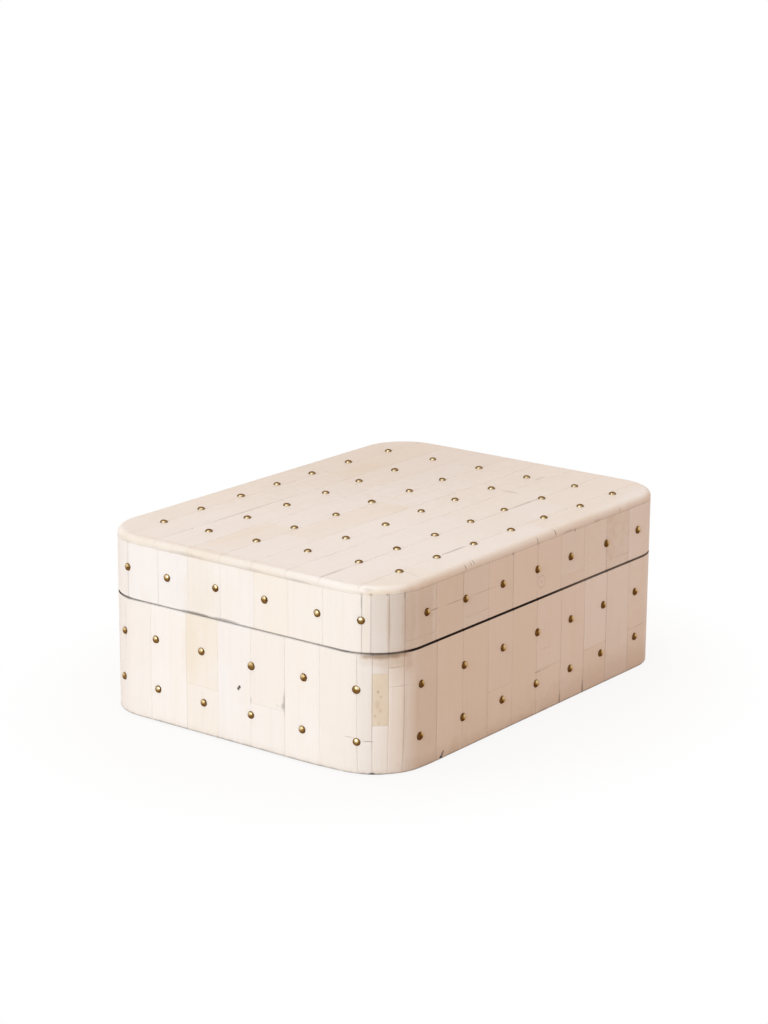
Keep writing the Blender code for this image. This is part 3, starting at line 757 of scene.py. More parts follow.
# Tones of most tiles that show: strip, tile from the foot, how light and how warm it is. They
# were set tile by tile, by comparing renders with the photograph, and chance sets the others
# The darkest tones, on the strips round the near corner, are the bone's own tone with painted shade, where
# the corner turns from the lamp
BASE_TONES = {
    (0, 0): (0.6, 0.1), (1, 0): (1.8, -0.1), (2, 0): (0.4, 1.0), (2, 1): (-0.3, 1.6), (5, 0): (0.8, 0.2),
    (7, 0): (-1.5, 0.0), (7, 1): (-2.6, 0.2), (8, 0): (-1.2, 0.3), (8, 1): (-7.8, 3.2), (8, 2): (-6.0, 0.2),
    (9, 0): (-1.8, 0.6), (9, 1): (-6.0, 0.7), (10, 0): (-5.0, 0.4), (11, 0): (-0.7, 0.6),
    (12, 0): (-0.6, 0.9), (13, 0): (0.4, 0.5), (14, 0): (0.3, 0.6), (15, 0): (1.0, 0.1), (15, 1): (1.6, -0.4),
    (16, 0): (1.8, -0.3), (17, 0): (1.2, 0.0), (17, 1): (3.9, -1.9), (18, 0): (2.0, -1.6),
    (19, 0): (0.2, 0.2), (19, 1): (0.9, 0.6),
}
LID_TONES = {
    (0, 0): (0.5, -0.4), (1, 0): (-0.2, -0.7), (2, 0): (-0.4, 0.2), (4, 0): (0.6, 1.2), (5, 0): (0.3, 0.5),
    (7, 0): (-1.6, 0.8), (8, 0): (-8.6, 0.0), (9, 0): (-11.3, -0.2), (10, 0): (-8.0, 0.0),
    (10, 1): (-8.0, 0.0), (11, 0): (-3.2, 0.5), (12, 0): (-2.4, -0.7), (12, 1): (-2.4, -0.6),
    (13, 0): (-0.5, 0.3), (14, 0): (0.8, 0.2), (15, 0): (0.8, -0.2), (16, 0): (0.0, -0.4),
    (16, 1): (0.8, -1.2), (17, 0): (1.2, -1.0), (18, 0): (-6.8, 0.2), (18, 1): (-8.3, 0.1),
    (19, 0): (3.8, -3.3),
}

# %% The tone of a tile
BONE_TONE = np.array([0.870, 0.795, 0.712])
BRIGHTEST = 0.95
LIGHT_STEP = np.array([0.014, 0.014, 0.014])
WARM_STEP = np.array([-0.003, -0.018, -0.044])


def tile_tone(light, warm):
    """The bone's own tone, made lighter and warmer by so many steps."""
    return tuple(np.clip(BONE_TONE + light * LIGHT_STEP + warm * WARM_STEP, 0, BRIGHTEST))


print(f"{len(BASE_WAYS)} strips on half of the base, {len(LID_WAYS)} on half of the lid")

# %% The ends of a tile
BUTT_GAP = 0.01 * MM
# How far an edge is rounded: at a joint, a rim, a butt joint, the box's foot and under the top
JOINT_ARRIS = 0.05 * MM
RIM_ARRIS = 0.17 * MM
BUTT_ARRIS = 0.02 * MM
FOOT_ARRIS = 0.35 * MM
HEAD_ARRIS = 0.10 * MM
# How far past its arris a tile is dirty, and how far past it a rim has painted seam shade
DIRT_REACH = 0.55 * MM
SEAM_SHADE_REACH = 0.45 * MM
# How worn a tile is at each stop of an end, where 2 is painted seam shade, which covers the
# whole arris of a rim. A butt joint is tighter and cleaner than a joint along the strips
JOINT_WORN = (1.0, 1.0, 0.9, 0.75, 0.0)
RIM_WEAR_AND_SEAM_SHADE = (2.0, 2.0, 2.0, 2.0, 0.0)
BUTT_WORN = (0.8, 0.8, 0.7, 0.65, 0.0)
BEND = 1 - math.cos(math.pi / 4)


def end_of(arris, worn=JOINT_WORN, reach=DIRT_REACH):
    """Stops in from an end, their depths and how worn they are: down the joint, over an
    arris of an eighth and an eighth of a circle, and on to where a joint's dirt or a rim's painted seam shade
    ends."""
    stops = np.array([0.0, 0.0, BEND * arris, arris, arris + reach])
    depths = np.array([BONE_THICKNESS, arris, BEND * arris, 0.0, 0.0])
    return stops, depths, np.array(worn)


JOINT_END = end_of(JOINT_ARRIS)
RIM_END = end_of(RIM_ARRIS, RIM_WEAR_AND_SEAM_SHADE, SEAM_SHADE_REACH)
BUTT_END = end_of(BUTT_ARRIS, BUTT_WORN)
FOOT_END = end_of(FOOT_ARRIS)
HEAD_END = end_of(HEAD_ARRIS)

# %% A side tile from its stops
# How far apart the stops are at the most: on a flat face, and round a corner
FACE_PITCH = 5.0 * MM
ROUND_PITCH = 1.3 * MM
# Less than any length or share that matters
TINY = 1e-6


def run(low, high, pitch, low_end, high_end):
    """Stops across a tile, from one end to the other, with even ones between."""
    near, near_depths, near_worn = low_end
    far, far_depths, far_worn = high_end
    count = max(2, math.ceil((high - low - near[-1] - far[-1]) / pitch) + 1)
    middle = np.linspace(low + near[-1], high - far[-1], count)
    flat = np.zeros(count)
    return (
        np.concatenate([low + near[:-1], middle, high - far[-2::-1]]),
        np.concatenate([near_depths[:-1], flat, far_depths[-2::-1]]),
        np.concatenate([near_worn[:-1], flat, far_worn[-2::-1]]),
    )


def on_corner(ways):
    """Whether one of the ways is on a round corner, where the normal isn't along X or Y."""
    _, _, normal_x, _ = outline(ways)
    return np.any(np.abs(normal_x) % 1 > TINY)


def side_tile(ways, levels, ends, rim_end, lift, tone, shift):
    """A tile on the sides: the outline at each way, at an inset that is the deeper of the
    depths along and up, less a small lift, and more where the foot is worn. An end at a rim
    follows the bevel there: heights are stretched from the other end by the same share."""
    pitch = ROUND_PITCH if on_corner(ways) else FACE_PITCH
    stops, way_depths, way_worn = run(*ways, pitch, JOINT_END, JOINT_END)
    heights, height_depths, height_worn = run(*levels, FACE_PITCH, *ends)
    stops, heights = stops[:, None], heights[None, :]
    inset = np.maximum(way_depths[:, None], height_depths[None, :])
    worn_face = inset - lift + FOOT_WEAR * foot_wear(stops, heights)
    x, y, _, _ = outline(stops, np.where(inset < BONE_THICKNESS, worn_face, inset))
    bevelled = heights
    if rim_end is not None:
        flat_rim, fixed = levels[rim_end], levels[1 - rim_end]
        rim = rim_height(y, 1 if rim_end == 0 else -1)
        bevelled = fixed + (heights - fixed) * (rim - fixed) / (flat_rim - fixed)
    worn = np.maximum(way_worn[:, None], height_worn[None, :])
    return patch(grid(x, y, bevelled), tone, worn, (heights + shift, stops + shift))


# %% All the side tiles of one half
# In mm, at the least and at the most: half a gap between strips, how far out a tile was laid,
# and where its streaks start. Then the middle and spread of how light and how warm it is
HALF_GAPS = (0.02, 0.045)
LIFTS = (0.0, 0.02)
SHIFTS = (0.0, 5.0)
SIDE_LIGHT = (0.0, 0.5)
SIDE_WARM = (0.1, 0.4)


def laid_by_hand(dice):
    """How far out one tile was laid, and how far its streaks are shifted."""
    return dice.uniform(*LIFTS) * MM, dice.uniform(*SHIFTS)


def side_tiles(ways, butts, tones, levels, rim_end, seed):
    """All the side tiles of the base or the lid, each with the middle of its way. The rim is
    at end 0 of the lid's levels, which is low, and at end 1 of the base's."""
    dice = np.random.default_rng(seed)
    gaps = dice.uniform(*HALF_GAPS, size=(2, len(ways) + 1)) * MM
    outer = [FOOT_END, HEAD_END]
    outer[rim_end] = RIM_END
    tiles = []
    for half in range(2):
        edges = [way * MM + half * HALF_ROUND for way in [*ways, ways[0] + HALF_ROUND / MM]]
        for strip in range(len(ways)):
            across = (edges[strip] + gaps[half, strip], edges[strip + 1] - gaps[half, strip + 1])
            cuts = [levels[0], *sorted(SEAM_Z + height * MM for height in butts.get(strip, ())), levels[1]]
            for tile in range(len(cuts) - 1):
                light, warm = dice.normal(*SIDE_LIGHT), dice.normal(*SIDE_WARM)
                if half == 0 and (strip, tile) in tones:
                    light, warm = tones[strip, tile]
                first, last = tile == 0, tile == len(cuts) - 2
                own = (cuts[tile] + (0 if first else BUTT_GAP), cuts[tile + 1] - (0 if last else BUTT_GAP))
                ends = (outer[0] if first else BUTT_END, outer[1] if last else BUTT_END)
                at_rim = rim_end if (last if rim_end else first) else None
                lift, shift = laid_by_hand(dice)
                shape = side_tile(across, own, ends, at_rim, lift, tile_tone(light, warm), shift)
                tiles.append((sum(across) / 2, shape))
    return tiles


# %% Lay the side tiles
# Where each sheet of bone that shows ends, by way in mm, and the sheet half-way round from it
SHEET_ENDS = {"left": 14.2, "front_left": 27.1, "front": 197.6, "front_right": 210.5}
FAR_SHEETS = {"left": "right", "front_left": "back_right", "front": "back", "front_right": "back_left"}


def sheet_at(way):
    """The CAD sheet of bone that covers a way round the box. The first one starts half-way
    round from the end of the last one."""
    start = SHEET_ENDS["front_right"] * MM - HALF_ROUND
    halves, past = divmod((way - start) % PERIMETER, HALF_ROUND)
    name = next(name for name, end in SHEET_ENDS.items() if start + past <= end * MM + TINY)
    return FAR_SHEETS[name] if halves else name


def lay_sides(prefix, tiles):
    """One piece for each CAD sheet, made of the tiles that lie on it."""
    for sheet in [*SHEET_ENDS, *FAR_SHEETS.values()]:
        own = [shape for way, shape in tiles if sheet_at(way) == sheet]
        node = f"{prefix}_{sheet}_bone"
        piece(f"{prefix}_{sheet}_tiles", own, BONE, prefix, [node])
        print(f"{node}: {len(own)} tiles")


lay_sides("base", side_tiles(BASE_WAYS, BASE_BUTTS, BASE_TONES, (BASE_FOOT, BASE_RIM), rim_end=1, seed=11))
lay_sides("lid", side_tiles(LID_WAYS, LID_BUTTS, LID_TONES, (LID_RIM, LID_SIDE_HEAD), rim_end=0, seed=12))

# %% [markdown]
# ## The top tiles
#
# The strips on top run along the box and out over the side bone, and their ends are
# rounded over with it. A bevel would round the joints as well as the outer edge. Here each
# row of points of a tile reaches from its joint to the next one, or out to the rounded
# outline, and a circle says how far it has dropped there.

# %% Where the top joints are
# In mm from the near long edge for the strips, and from the near short edge for the butts of
# each strip
TOP_JOINTS = [14.5, 32.4, 48.6, 65.7, 81.6, 97.8, 115.3, 130.7]
TOP_BUTTS = [
    (24.9, 112.4), (38.6, 50.8, 78.0, 124.0, 146.4), (101.5, 163.8), (60.3, 118.0, 175.5),
    (40.3, 103.0, 152.6), (49.8, 174.0), (30.4, 118.0), (61.0, 125.2), (23.6, 121.4),
]
# Tones as for the sides: strip, tile from the left, how light and how warm it is
TOP_TONES = {
    (0, 0): (0.6, -0.2), (0, 2): (-0.4, 0.5), (1, 0): (0.7, -0.3), (1, 5): (-0.4, 0.6),
    (2, 1): (-0.3, 0.3), (2, 2): (-0.5, 0.5), (3, 0): (0.4, 0.0), (3, 2): (-0.4, 0.3), (4, 0): (0.5, -0.2),
    (4, 1): (-0.6, 0.7), (4, 2): (0.3, -0.3), (5, 0): (-0.4, 0.6), (5, 1): (0.3, -0.4), (5, 2): (-0.4, 0.3),
    (6, 0): (0.5, -0.3), (6, 1): (0.1, -0.1), (7, 0): (0.1, 0.1), (7, 1): (-0.5, 0.3), (7, 2): (-1.2, 1.3),
    (8, 0): (-0.2, 0.3), (8, 1): (-0.7, 0.6), (8, 2): (-1.4, 0.9),
}
# How much the tones of the others are spread
TOP_SPREAD = 0.3
print(f"{len(TOP_BUTTS)} strips on top")


# %% The rounded outline of the top
def half_length(y):
    """How far the outline reaches along X at a depth y, by the circle of the corner."""
    past = np.maximum(np.abs(y) - (WIDTH / 2 - CORNER_RADIUS), 0)
    return LENGTH / 2 - CORNER_RADIUS + np.sqrt(np.maximum(CORNER_RADIUS**2 - past**2, 0))


def inside(x, y):
    """How far a plan point is inside the rounded outline: the radius less the length of
    what lies past the corner's centre."""
    past_x = np.abs(x) - (LENGTH / 2 - CORNER_RADIUS)
    past_y = np.abs(y) - (WIDTH / 2 - CORNER_RADIUS)
    outside = np.hypot(np.maximum(past_x, 0), np.maximum(past_y, 0))
    return CORNER_RADIUS - outside - np.minimum(np.maximum(past_x, past_y), 0)


def drop(within, rounding):
    """How far the rounded edge has fallen at a distance within the outline: the radius less
    the height of the circle there."""
    short = np.clip(rounding - within, 0, rounding)
    return rounding - np.sqrt(np.maximum(rounding**2 - short**2, 0))


# %% The ends and rows of a top tile
# Stops over the rounded edge, close together where it is steep, and how worn its outside is
ROUND_STOPS = MM * np.array(
    [0.0, 0.03, 0.12, 0.27, 0.47, 0.74, 1.06, 1.44, 1.88, 2.4, 3.0, 3.7, 4.6, 5.8, 7.2]
)
EDGE_WORN = 0.7
# Rows between the two sides of a strip: plain, across a round corner and along a long edge
PLAIN_ROWS = 2
CORNER_ROWS = 12
EDGE_ROWS = 4
# How far apart the stops along a tile are at the most
TOP_PITCH = 6.0 * MM
# The most of a short row that the stops of its two ends may take
ENDS_SHARE = 0.9


def end_stops(at_edge):
    """Stops in from one end of a top tile, with depths, wear and which are at the foot:
    over the arris of a joint, or out to the rounded edge, where the rounding gives the depth."""
    if at_edge:
        stops = np.concatenate([[0.0], ROUND_STOPS])
        deep, worn = np.zeros(len(stops)), np.zeros(len(stops))
        worn[:2] = EDGE_WORN
    else:
        stops, deep, worn = JOINT_END
        deep = np.where(deep < BONE_THICKNESS, deep, 0.0)
    return stops, deep, worn, np.arange(len(stops)) == 0


def both_ends(low_edge, high_edge, count):
    """The stops of both ends with even ones between: offsets from the low end, offsets from
    the high end, and the share of the way between, of which one is used at each stop."""
    near, near_deep, near_worn, near_foot = end_stops(low_edge)
    far, far_deep, far_worn, far_foot = end_stops(high_edge)
    zeros = np.zeros(count)
    from_low = np.concatenate([near, zeros + near[-1], np.zeros(len(far)) + near[-1]])
    from_high = np.concatenate([np.zeros(len(near)) + far[-1], zeros + far[-1], far[::-1]])
    share = np.concatenate([np.zeros(len(near)), np.linspace(0, 1, count + 2)[1:-1], np.ones(len(far))])
    deep = np.concatenate([near_deep, zeros, far_deep[::-1]])
    worn = np.concatenate([near_worn, zeros, far_worn[::-1]])
    foot = np.concatenate([near_foot, zeros > 0, far_foot[::-1]])
    return from_low, from_high, share, deep, worn, foot


def rows_across(y_ends, edges):
    """How many rows lie between the two sides of a strip on top."""
    if any(edges):
        return EDGE_ROWS
    crosses_corner = max(np.abs(y_ends)) > WIDTH / 2 - CORNER_RADIUS
    return CORNER_ROWS if crosses_corner else PLAIN_ROWS


def top_tile(x_ends, y_ends, edges, lift, tone, shift):
    """A tile on top: rows from one joint to the next, or to the outline where that is None,
    at the top's height less the rounded edge's drop and the arris. Where a row is too short
    for the stops of both its ends, these are drawn in to fit."""
    from_low, from_high, share, deep_y, worn_y, foot_y = both_ends(*edges, rows_across(y_ends, edges))
    y = (y_ends[0] + from_low) * (1 - share) + (y_ends[1] - from_high) * share
    left = -half_length(y) if x_ends[0] is None else np.full(len(y), x_ends[0])
    right = half_length(y) if x_ends[1] is None else np.full(len(y), x_ends[1])
    count = max(2, math.ceil(np.max(right - left) / TOP_PITCH))
    at_edge = (x_ends[0] is None, x_ends[1] is None)
    from_low, from_high, share, deep_x, worn_x, foot_x = both_ends(*at_edge, count)
    room = np.minimum(1, ENDS_SHARE * (right - left) / (np.max(from_low) + np.max(from_high)))[None, :]
    share = share[:, None]
    x = (left[None, :] + from_low[:, None] * room) * (1 - share)
    x = x + (right[None, :] - from_high[:, None] * room) * share
    deep = np.maximum(deep_x[:, None], deep_y[None, :])
    z = TOP_Z + lift - drop(inside(x, y), EDGE_ROUNDING) - deep
    z = np.where(foot_x[:, None] | foot_y[None, :], TOP_BONE_FOOT, z)
    worn = np.maximum(worn_x[:, None], worn_y[None, :])
    return patch(grid(x, y, z), tone, worn, (x + shift, y + shift))


# %% Lay the top tiles
def lay_top(seed):
    """The nine strips of the top, each cut at its own butt joints."""
    dice = np.random.default_rng(seed)
    joints = [y * MM - WIDTH / 2 for y in TOP_JOINTS]
    levels = [-WIDTH / 2, *joints, WIDTH / 2]
    tiles = []
    for strip, butts in enumerate(TOP_BUTTS):
        gap_low, gap_high = dice.uniform(*HALF_GAPS, 2) * MM
        edges = (strip == 0, strip == len(TOP_BUTTS) - 1)
        low = levels[strip] + (0 if edges[0] else gap_low)
        high = levels[strip + 1] - (0 if edges[1] else gap_high)
        cuts = [x * MM - LENGTH / 2 for x in butts]
        lows = [None, *[cut + BUTT_GAP for cut in cuts]]
        highs = [*[cut - BUTT_GAP for cut in cuts], None]
        for tile, along in enumerate(zip(lows, highs)):
            drawn = (dice.normal(0, TOP_SPREAD), dice.normal(0, TOP_SPREAD))
            tone = tile_tone(*TOP_TONES.get((strip, tile), drawn))
            lift, shift = laid_by_hand(dice)
            tiles.append(top_tile(along, (low, high), edges, lift, tone, shift))
    piece("lid_top_tiles", tiles, BONE, "lid", ["lid_top_bone"])
    print(f"top: {len(tiles)} tiles")


lay_top(seed=13)

# %% [markdown]
# ## The filler bed
#
# On the real box the filler is what was squeezed up between the tiles. It could be a thin
# strip in every joint, but one bed under all of them is simpler and closes every gap. It
# follows the same faces a little further in: a ring round each half, and a slab under the
# top with the same rounded edge.

# %% Closed rings and slabs
def come_round(points):
    """A grid with its first row again at its end."""
    return np.concatenate([points, points[:1]], axis=0)


def capped(points, worn=0.0, head=True):
    """A patch that goes round to its start, with a face over its first ring, and with a head
    one over its last ring too."""
    rows, columns, _ = points.shape
    made = patch(points, worn=worn, closed=False)
    first = (np.arange(rows - 1) * columns).tolist()
    last = (np.arange(rows - 1) * columns + columns - 1).tolist()
    made["back"] = [first[::-1], last] if head else [first[::-1]]
    return made


def weld(made):
    """Joins the points that lie on each other, where a grid has come round to its start."""
    form = bmesh.new()
    form.from_mesh(made.data)
    bmesh.ops.remove_doubles(form, verts=form.verts, dist=MM / 1000)
    bmesh.ops.recalc_face_normals(form, faces=form.faces)
    form.to_mesh(made.data)
    form.free()


# %% Make the filler
# How deep under the face the filler starts and ends, how far the slab's last ring is in, and
# how far the filler stays back from a rim or from the foot
FILLER_DEPTH = 0.05 * MM
BED_DEPTH = 0.9 * MM
BED_REACH = 20 * MM
RIM_MARGIN = 0.5 * MM
# How many ways a ring has round the box and levels up it, and how many ways a slab has round
# one corner and stops over its edge
RING_WAYS = 361
RING_LEVELS = 13
CORNER_WAYS = 24
ARC_STOPS = 7


def filler_ring(name, foot, head, up, body):
    """A closed ring round the box: up at the filler's depth, over, down at the bed's depth,
    and back under, for each way round. It follows the worn foot."""
    ways = np.linspace(0, PERIMETER, RING_WAYS)[:, None]
    climb = np.linspace(0, 1, RING_LEVELS)
    share = np.concatenate([climb, [1.0, 0.0, 0.0]])[None, :]
    depth = np.concatenate([0 * climb + FILLER_DEPTH, [BED_DEPTH, BED_DEPTH, FILLER_DEPTH]])[None, :]
    rim = rim_height(outline(ways)[1], up) + up * RIM_MARGIN
    low, high = (rim, head) if up > 0 else (foot, rim)
    z = low + (high - low) * share
    x, y, _, _ = outline(ways, depth + FOOT_WEAR * foot_wear(ways, z))
    weld(piece(name, [patch(grid(x, y, z), closed=False)], FILLER, body))


def rounded_slab(insets, heights):
    """Rings of the rounded outline, each brought in by an inset and at its own height."""
    ways = np.concatenate([
        start + np.concatenate([np.linspace(0, QUARTER, CORNER_WAYS), [QUARTER + flat]])[:-1]
        for start, flat in zip(STARTS[:-1], FLATS)
    ])
    x, y, _, _ = outline(ways[:, None], insets[None, :])
    return come_round(grid(x, y, heights))


def top_bed():
    """The bed under the top tiles: up its side, over a quarter circle like theirs, and in."""
    arc = np.linspace(0, math.pi / 2, ARC_STOPS)
    insets = FILLER_DEPTH + EDGE_ROUNDING * (1 - np.cos(arc))
    heights = TOP_Z - FILLER_DEPTH - EDGE_ROUNDING * (1 - np.sin(arc))
    insets = np.concatenate([[FILLER_DEPTH], insets, [BED_REACH]])
    heights = np.concatenate([[TOP_BONE_FOOT + FILLER_DEPTH], heights, [TOP_Z - FILLER_DEPTH]])
    return capped(rounded_slab(insets, heights))


filler_ring("base_filler", BASE_FOOT + RIM_MARGIN, None, -1, "base")
filler_ring("lid_filler", None, TOP_BONE_FOOT + FILLER_DEPTH, 1, "lid")
weld(piece("lid_top_filler", [top_bed()], FILLER, "lid"))
print(f"filler {FILLER_DEPTH / MM:.2f} mm under the face, in two rings and a slab")

# %% [markdown]
# ## The studs
#
# Each stud is a pin with a domed head about 3.3 mm across that stands a millimetre proud.
# They were set by hand, so rows wander a little. One sphere could be cut and copied, but
# then all the studs would be alike. A dome here is a quarter of an ellipse turned round its
# axis, and all the studs of a face are one array, in which each has its tilt and its size.

# %% Where the studs are
# Ways in mm as for the joints, and heights from the seam in mm
FRONT_LID_STUDS = [
    (37.7, 13.0), (62.9, 12.2), (87.9, 12.2), (112.1, 12.6), (136.1, 12.5), (162.8, 12.1), (187.0, 12.6),
]
FRONT_BASE_STUDS = [
    (34.6, -14.7), (62.4, -14.5), (88.8, -14.2), (113.0, -14.0), (137.3, -14.4), (161.7, -14.3),
    (186.2, -14.4), (34.1, -35.5), (62.0, -35.8), (88.6, -35.9), (112.6, -35.6), (137.5, -35.7),
    (160.5, -35.0), (186.9, -34.5),
]
LEFT_LID_STUDS = [(8.7, 12.9), (-11.1, 12.4), (-36.9, 12.8), (-61.6, 12.8), (-86.7, 12.3), (-107.9, 12.8)]
LEFT_BASE_STUDS = [
    (7.0, -14.5), (-17.7, -14.5), (-43.7, -15.3), (-69.2, -14.6), (-93.1, -14.5), (-110.9, -14.5),
    (7.0, -35.5), (-18.4, -35.7), (-44.0, -35.5), (-68.3, -35.7), (-92.2, -35.2), (-112.1, -34.1),
]
# In mm from the near long edge, and for each stud of the row from the near short edge
TOP_STUDS = [
    ((26.0, 13.7), (50.5, 14.0), (74.7, 13.7), (100.5, 13.7), (124.2, 13.8), (148.7, 12.2), (173.9, 12.5)),
    ((26.6, 33.6), (50.4, 33.1), (75.6, 33.3), (100.7, 33.7), (124.1, 33.4), (149.1, 31.7), (174.5, 31.9)),
    ((26.1, 58.4), (50.0, 58.2), (75.7, 58.0), (101.1, 58.9), (124.6, 58.8), (149.4, 57.6), (174.3, 56.4)),
    ((24.9, 83.3), (49.3, 83.9), (75.0, 82.9), (100.1, 83.7), (124.3, 82.2), (148.1, 82.3), (174.8, 82.0)),
    ((24.0, 107.3), (49.2, 108.4), (74.4, 108.2), (100.0, 108.1), (124.1, 109.0), (148.7, 108.5),
     (174.5, 106.8)),
    ((23.3, 130.5), (47.8, 132.0), (73.9, 132.7), (98.2, 133.1), (121.9, 133.0), (147.5, 133.0),
     (174.6, 131.6)),
]
side_count = len(FRONT_LID_STUDS + FRONT_BASE_STUDS + LEFT_LID_STUDS + LEFT_BASE_STUDS)
print(f"{side_count} studs on the front and the left, {sum(len(row) for row in TOP_STUDS)} on top")

# %% Studs from their places
STUD_RADIUS = 1.55 * MM
# A hair less than the solids' domes, so that a tilted dome doesn't stand outside their box
DOME_PROUD = 0.96 * MM
# How far the skirt of dirt and painted contact shade stands out, the radii and heights of its
# foot, its rim and its top, and the height of the stud's short straight edge
STUD_SKIRT = 0.08 * MM
SKIRT_RADII = [STUD_RADIUS + STUD_SKIRT, STUD_RADIUS + STUD_SKIRT, STUD_RADIUS]
SKIRT_HEIGHTS = [-0.25 * MM, 0.03 * MM, 0.05 * MM]
STUD_LIP = 0.12 * MM
STUD_SIDES = 24
DOME_RINGS = 7
# How much the hand leaves to chance, the tilt and the size of a head, and how far the painted highlight of a
# head wanders
TILT = math.radians(3)
SIZE_SPREAD = 0.025
HIGHLIGHT_SPREAD = 0.12
# A direction that no stud points in, to find one that is square to its normal
ASKEW = np.array([0.31, 0.53, 0.79])


def unit(vectors):
    """Vectors made one long."""
    return vectors / np.linalg.norm(vectors, axis=-1, keepdims=True)


def stud_profile():
    """Radii, heights and slopes up a stud: the skirt of dirt and painted contact shade, then a
    quarter of an ellipse from the straight edge to the top."""
    bends = np.linspace(0, math.pi / 2, DOME_RINGS + 1)[:-1]
    radii = np.concatenate([SKIRT_RADII, STUD_RADIUS * np.cos(bends), [0.0]])
    domed = STUD_LIP + (DOME_PROUD - STUD_LIP) * np.sin(bends)
    heights = np.concatenate([SKIRT_HEIGHTS, domed, [DOME_PROUD]])
    slopes = np.concatenate([[0.0] * len(SKIRT_HEIGHTS), bends, [math.pi / 2]])
    return radii, heights, slopes


def painted_reflection_wear(shine, shine_range, wear_range):
    """The painted reflection of a dome: the high end of the wear, painted dark, where the shine is
    short of its range, the low end, a painted highlight, where it is past it, and a smooth change between."""
    share = np.clip((shine - shine_range[0]) / (shine_range[1] - shine_range[0]), 0, 1)
    share = share * share * (3 - 2 * share)
    return wear_range[1] + (wear_range[0] - wear_range[1]) * share


def stud_patches(places, normals, highlight_lean, shine_range, wear_range, seed):
    """One patch for each stud: a skirt of dirt and painted contact shade, a short straight edge and an
    elliptic dome.

    A point is the place, plus its radius along two directions square to the normal by the
    cosine and sine of its turn, plus its height along the normal. A dome's painted highlight
    faces one direction, the normal plus a lean, and its shine is the cosine by which it faces that.
    """
    dice = np.random.default_rng(seed)
    radii, heights, slopes = stud_profile()
    normals = unit(normals + dice.normal(0, TILT, normals.shape))
    across = unit(np.cross(normals, ASKEW))
    other = np.cross(normals, across)
    turns = np.linspace(0, 2 * math.pi, STUD_SIDES + 1)
    sizes = dice.normal(1, SIZE_SPREAD, len(places))[:, None, None, None]
    ring = np.cos(turns)[None, :, None, None] * across[:, None, None, :]
    ring = ring + np.sin(turns)[None, :, None, None] * other[:, None, None, :]
    points = places[:, None, None, :] + sizes * ring * radii[None, None, :, None]
    points = points + heights[None, None, :, None] * normals[:, None, None, :]
    slopes = slopes[None, None, :, None]
    facing = ring * np.cos(slopes) / STUD_RADIUS + normals[:, None, None, :] * np.sin(slopes) / DOME_PROUD
    towards = unit(normals + highlight_lean + dice.normal(0, HIGHLIGHT_SPREAD, normals.shape))
    shine = np.sum(unit(facing) * towards[:, None, None, :], axis=-1)
    worn = painted_reflection_wear(shine, shine_range, wear_range)
    return [capped(points[number], worn[number], head=False) for number in range(len(places))]


def side_studs(name, ways_and_heights, turn, body, painted_reflection, seed):
    """The studs of one side, walked on by a turn, standing square to the face."""
    ways, heights = np.array(ways_and_heights).T * MM
    ways, heights = ways + turn, SEAM_Z + heights
    x, y, normal_x, normal_y = outline(ways, FOOT_WEAR * foot_wear(ways, heights))
    shapes = stud_patches(grid(x, y, heights), grid(normal_x, normal_y, 0.0), *painted_reflection, seed)
    weld(piece(name, shapes, STUD_BRASS, body))
    print(f"{name}: {len(ways)} studs")


# %% Hammer in the studs
# The lean of the painted highlight, the range of its cosine, and the wear at its two ends
SIDE_PAINTED_REFLECTION = (np.array([0.0, 0.0, 0.50]), (0.81, 1.0), (0.08, 0.86))
FRONT_PAINTED_REFLECTION = (np.array([0.45, 0.0, 0.40]), (0.69, 1.0), (0.17, 1.0))
TOP_PAINTED_REFLECTION = (np.array([-1.9, -1.3, 0.0]), (0.76, 1.0), (0.14, 0.88))
STUDDED = (("lid", FRONT_LID_STUDS, LEFT_LID_STUDS), ("base", FRONT_BASE_STUDS, LEFT_BASE_STUDS))
seed = 21
for half, long_rows, short_rows in STUDDED:
    sides = (
        ("front", long_rows, 0.0, FRONT_PAINTED_REFLECTION),
        ("left", short_rows, 0.0, SIDE_PAINTED_REFLECTION),
        ("back", long_rows, HALF_ROUND, SIDE_PAINTED_REFLECTION),
        ("right", short_rows, HALF_ROUND, SIDE_PAINTED_REFLECTION),
    )
    for side, rows, turn, painted_reflection in sides:
        side_studs(f"{half}_{side}_studs", rows, turn, half, painted_reflection, seed)
        seed += 1

# %% Hammer in the studs on top
on_top = np.array([(x * MM - LENGTH / 2, y * MM - WIDTH / 2, TOP_Z) for row in TOP_STUDS for x, y in row])
upright = np.tile([0.0, 0.0, 1.0], (len(on_top), 1))
top_studs = stud_patches(on_top, upright, *TOP_PAINTED_REFLECTION, seed)
weld(piece("lid_top_studs", top_studs, TOP_BRASS_PALER_REFLECTION, "lid"))
print(f"lid_top_studs: {len(on_top)} studs")

# %% [markdown]
# ## Wood and felt
#
# The carcass is a dark stained hardwood with its grain along each board, and the rims show
# it when the lid is open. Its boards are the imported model's own, and need only a finish. The
# floor of the box and its underside are covered with black felt. A felt lies flat, so it
# needs no cloth simulation: rings of its outline, with a soft edge, are enough.


# %% The wood finish
# The wood between its rings, in them and in its pores
WOOD_BROWN = (0.115, 0.060, 0.032)
WOOD_DARK = (0.040, 0.020, 0.012)
WOOD_PORE = (0.015, 0.009, 0.006)
# How fine the noise is along the grain and across it
ALONG_GRAIN = 18.0
ACROSS_GRAIN = 420.0


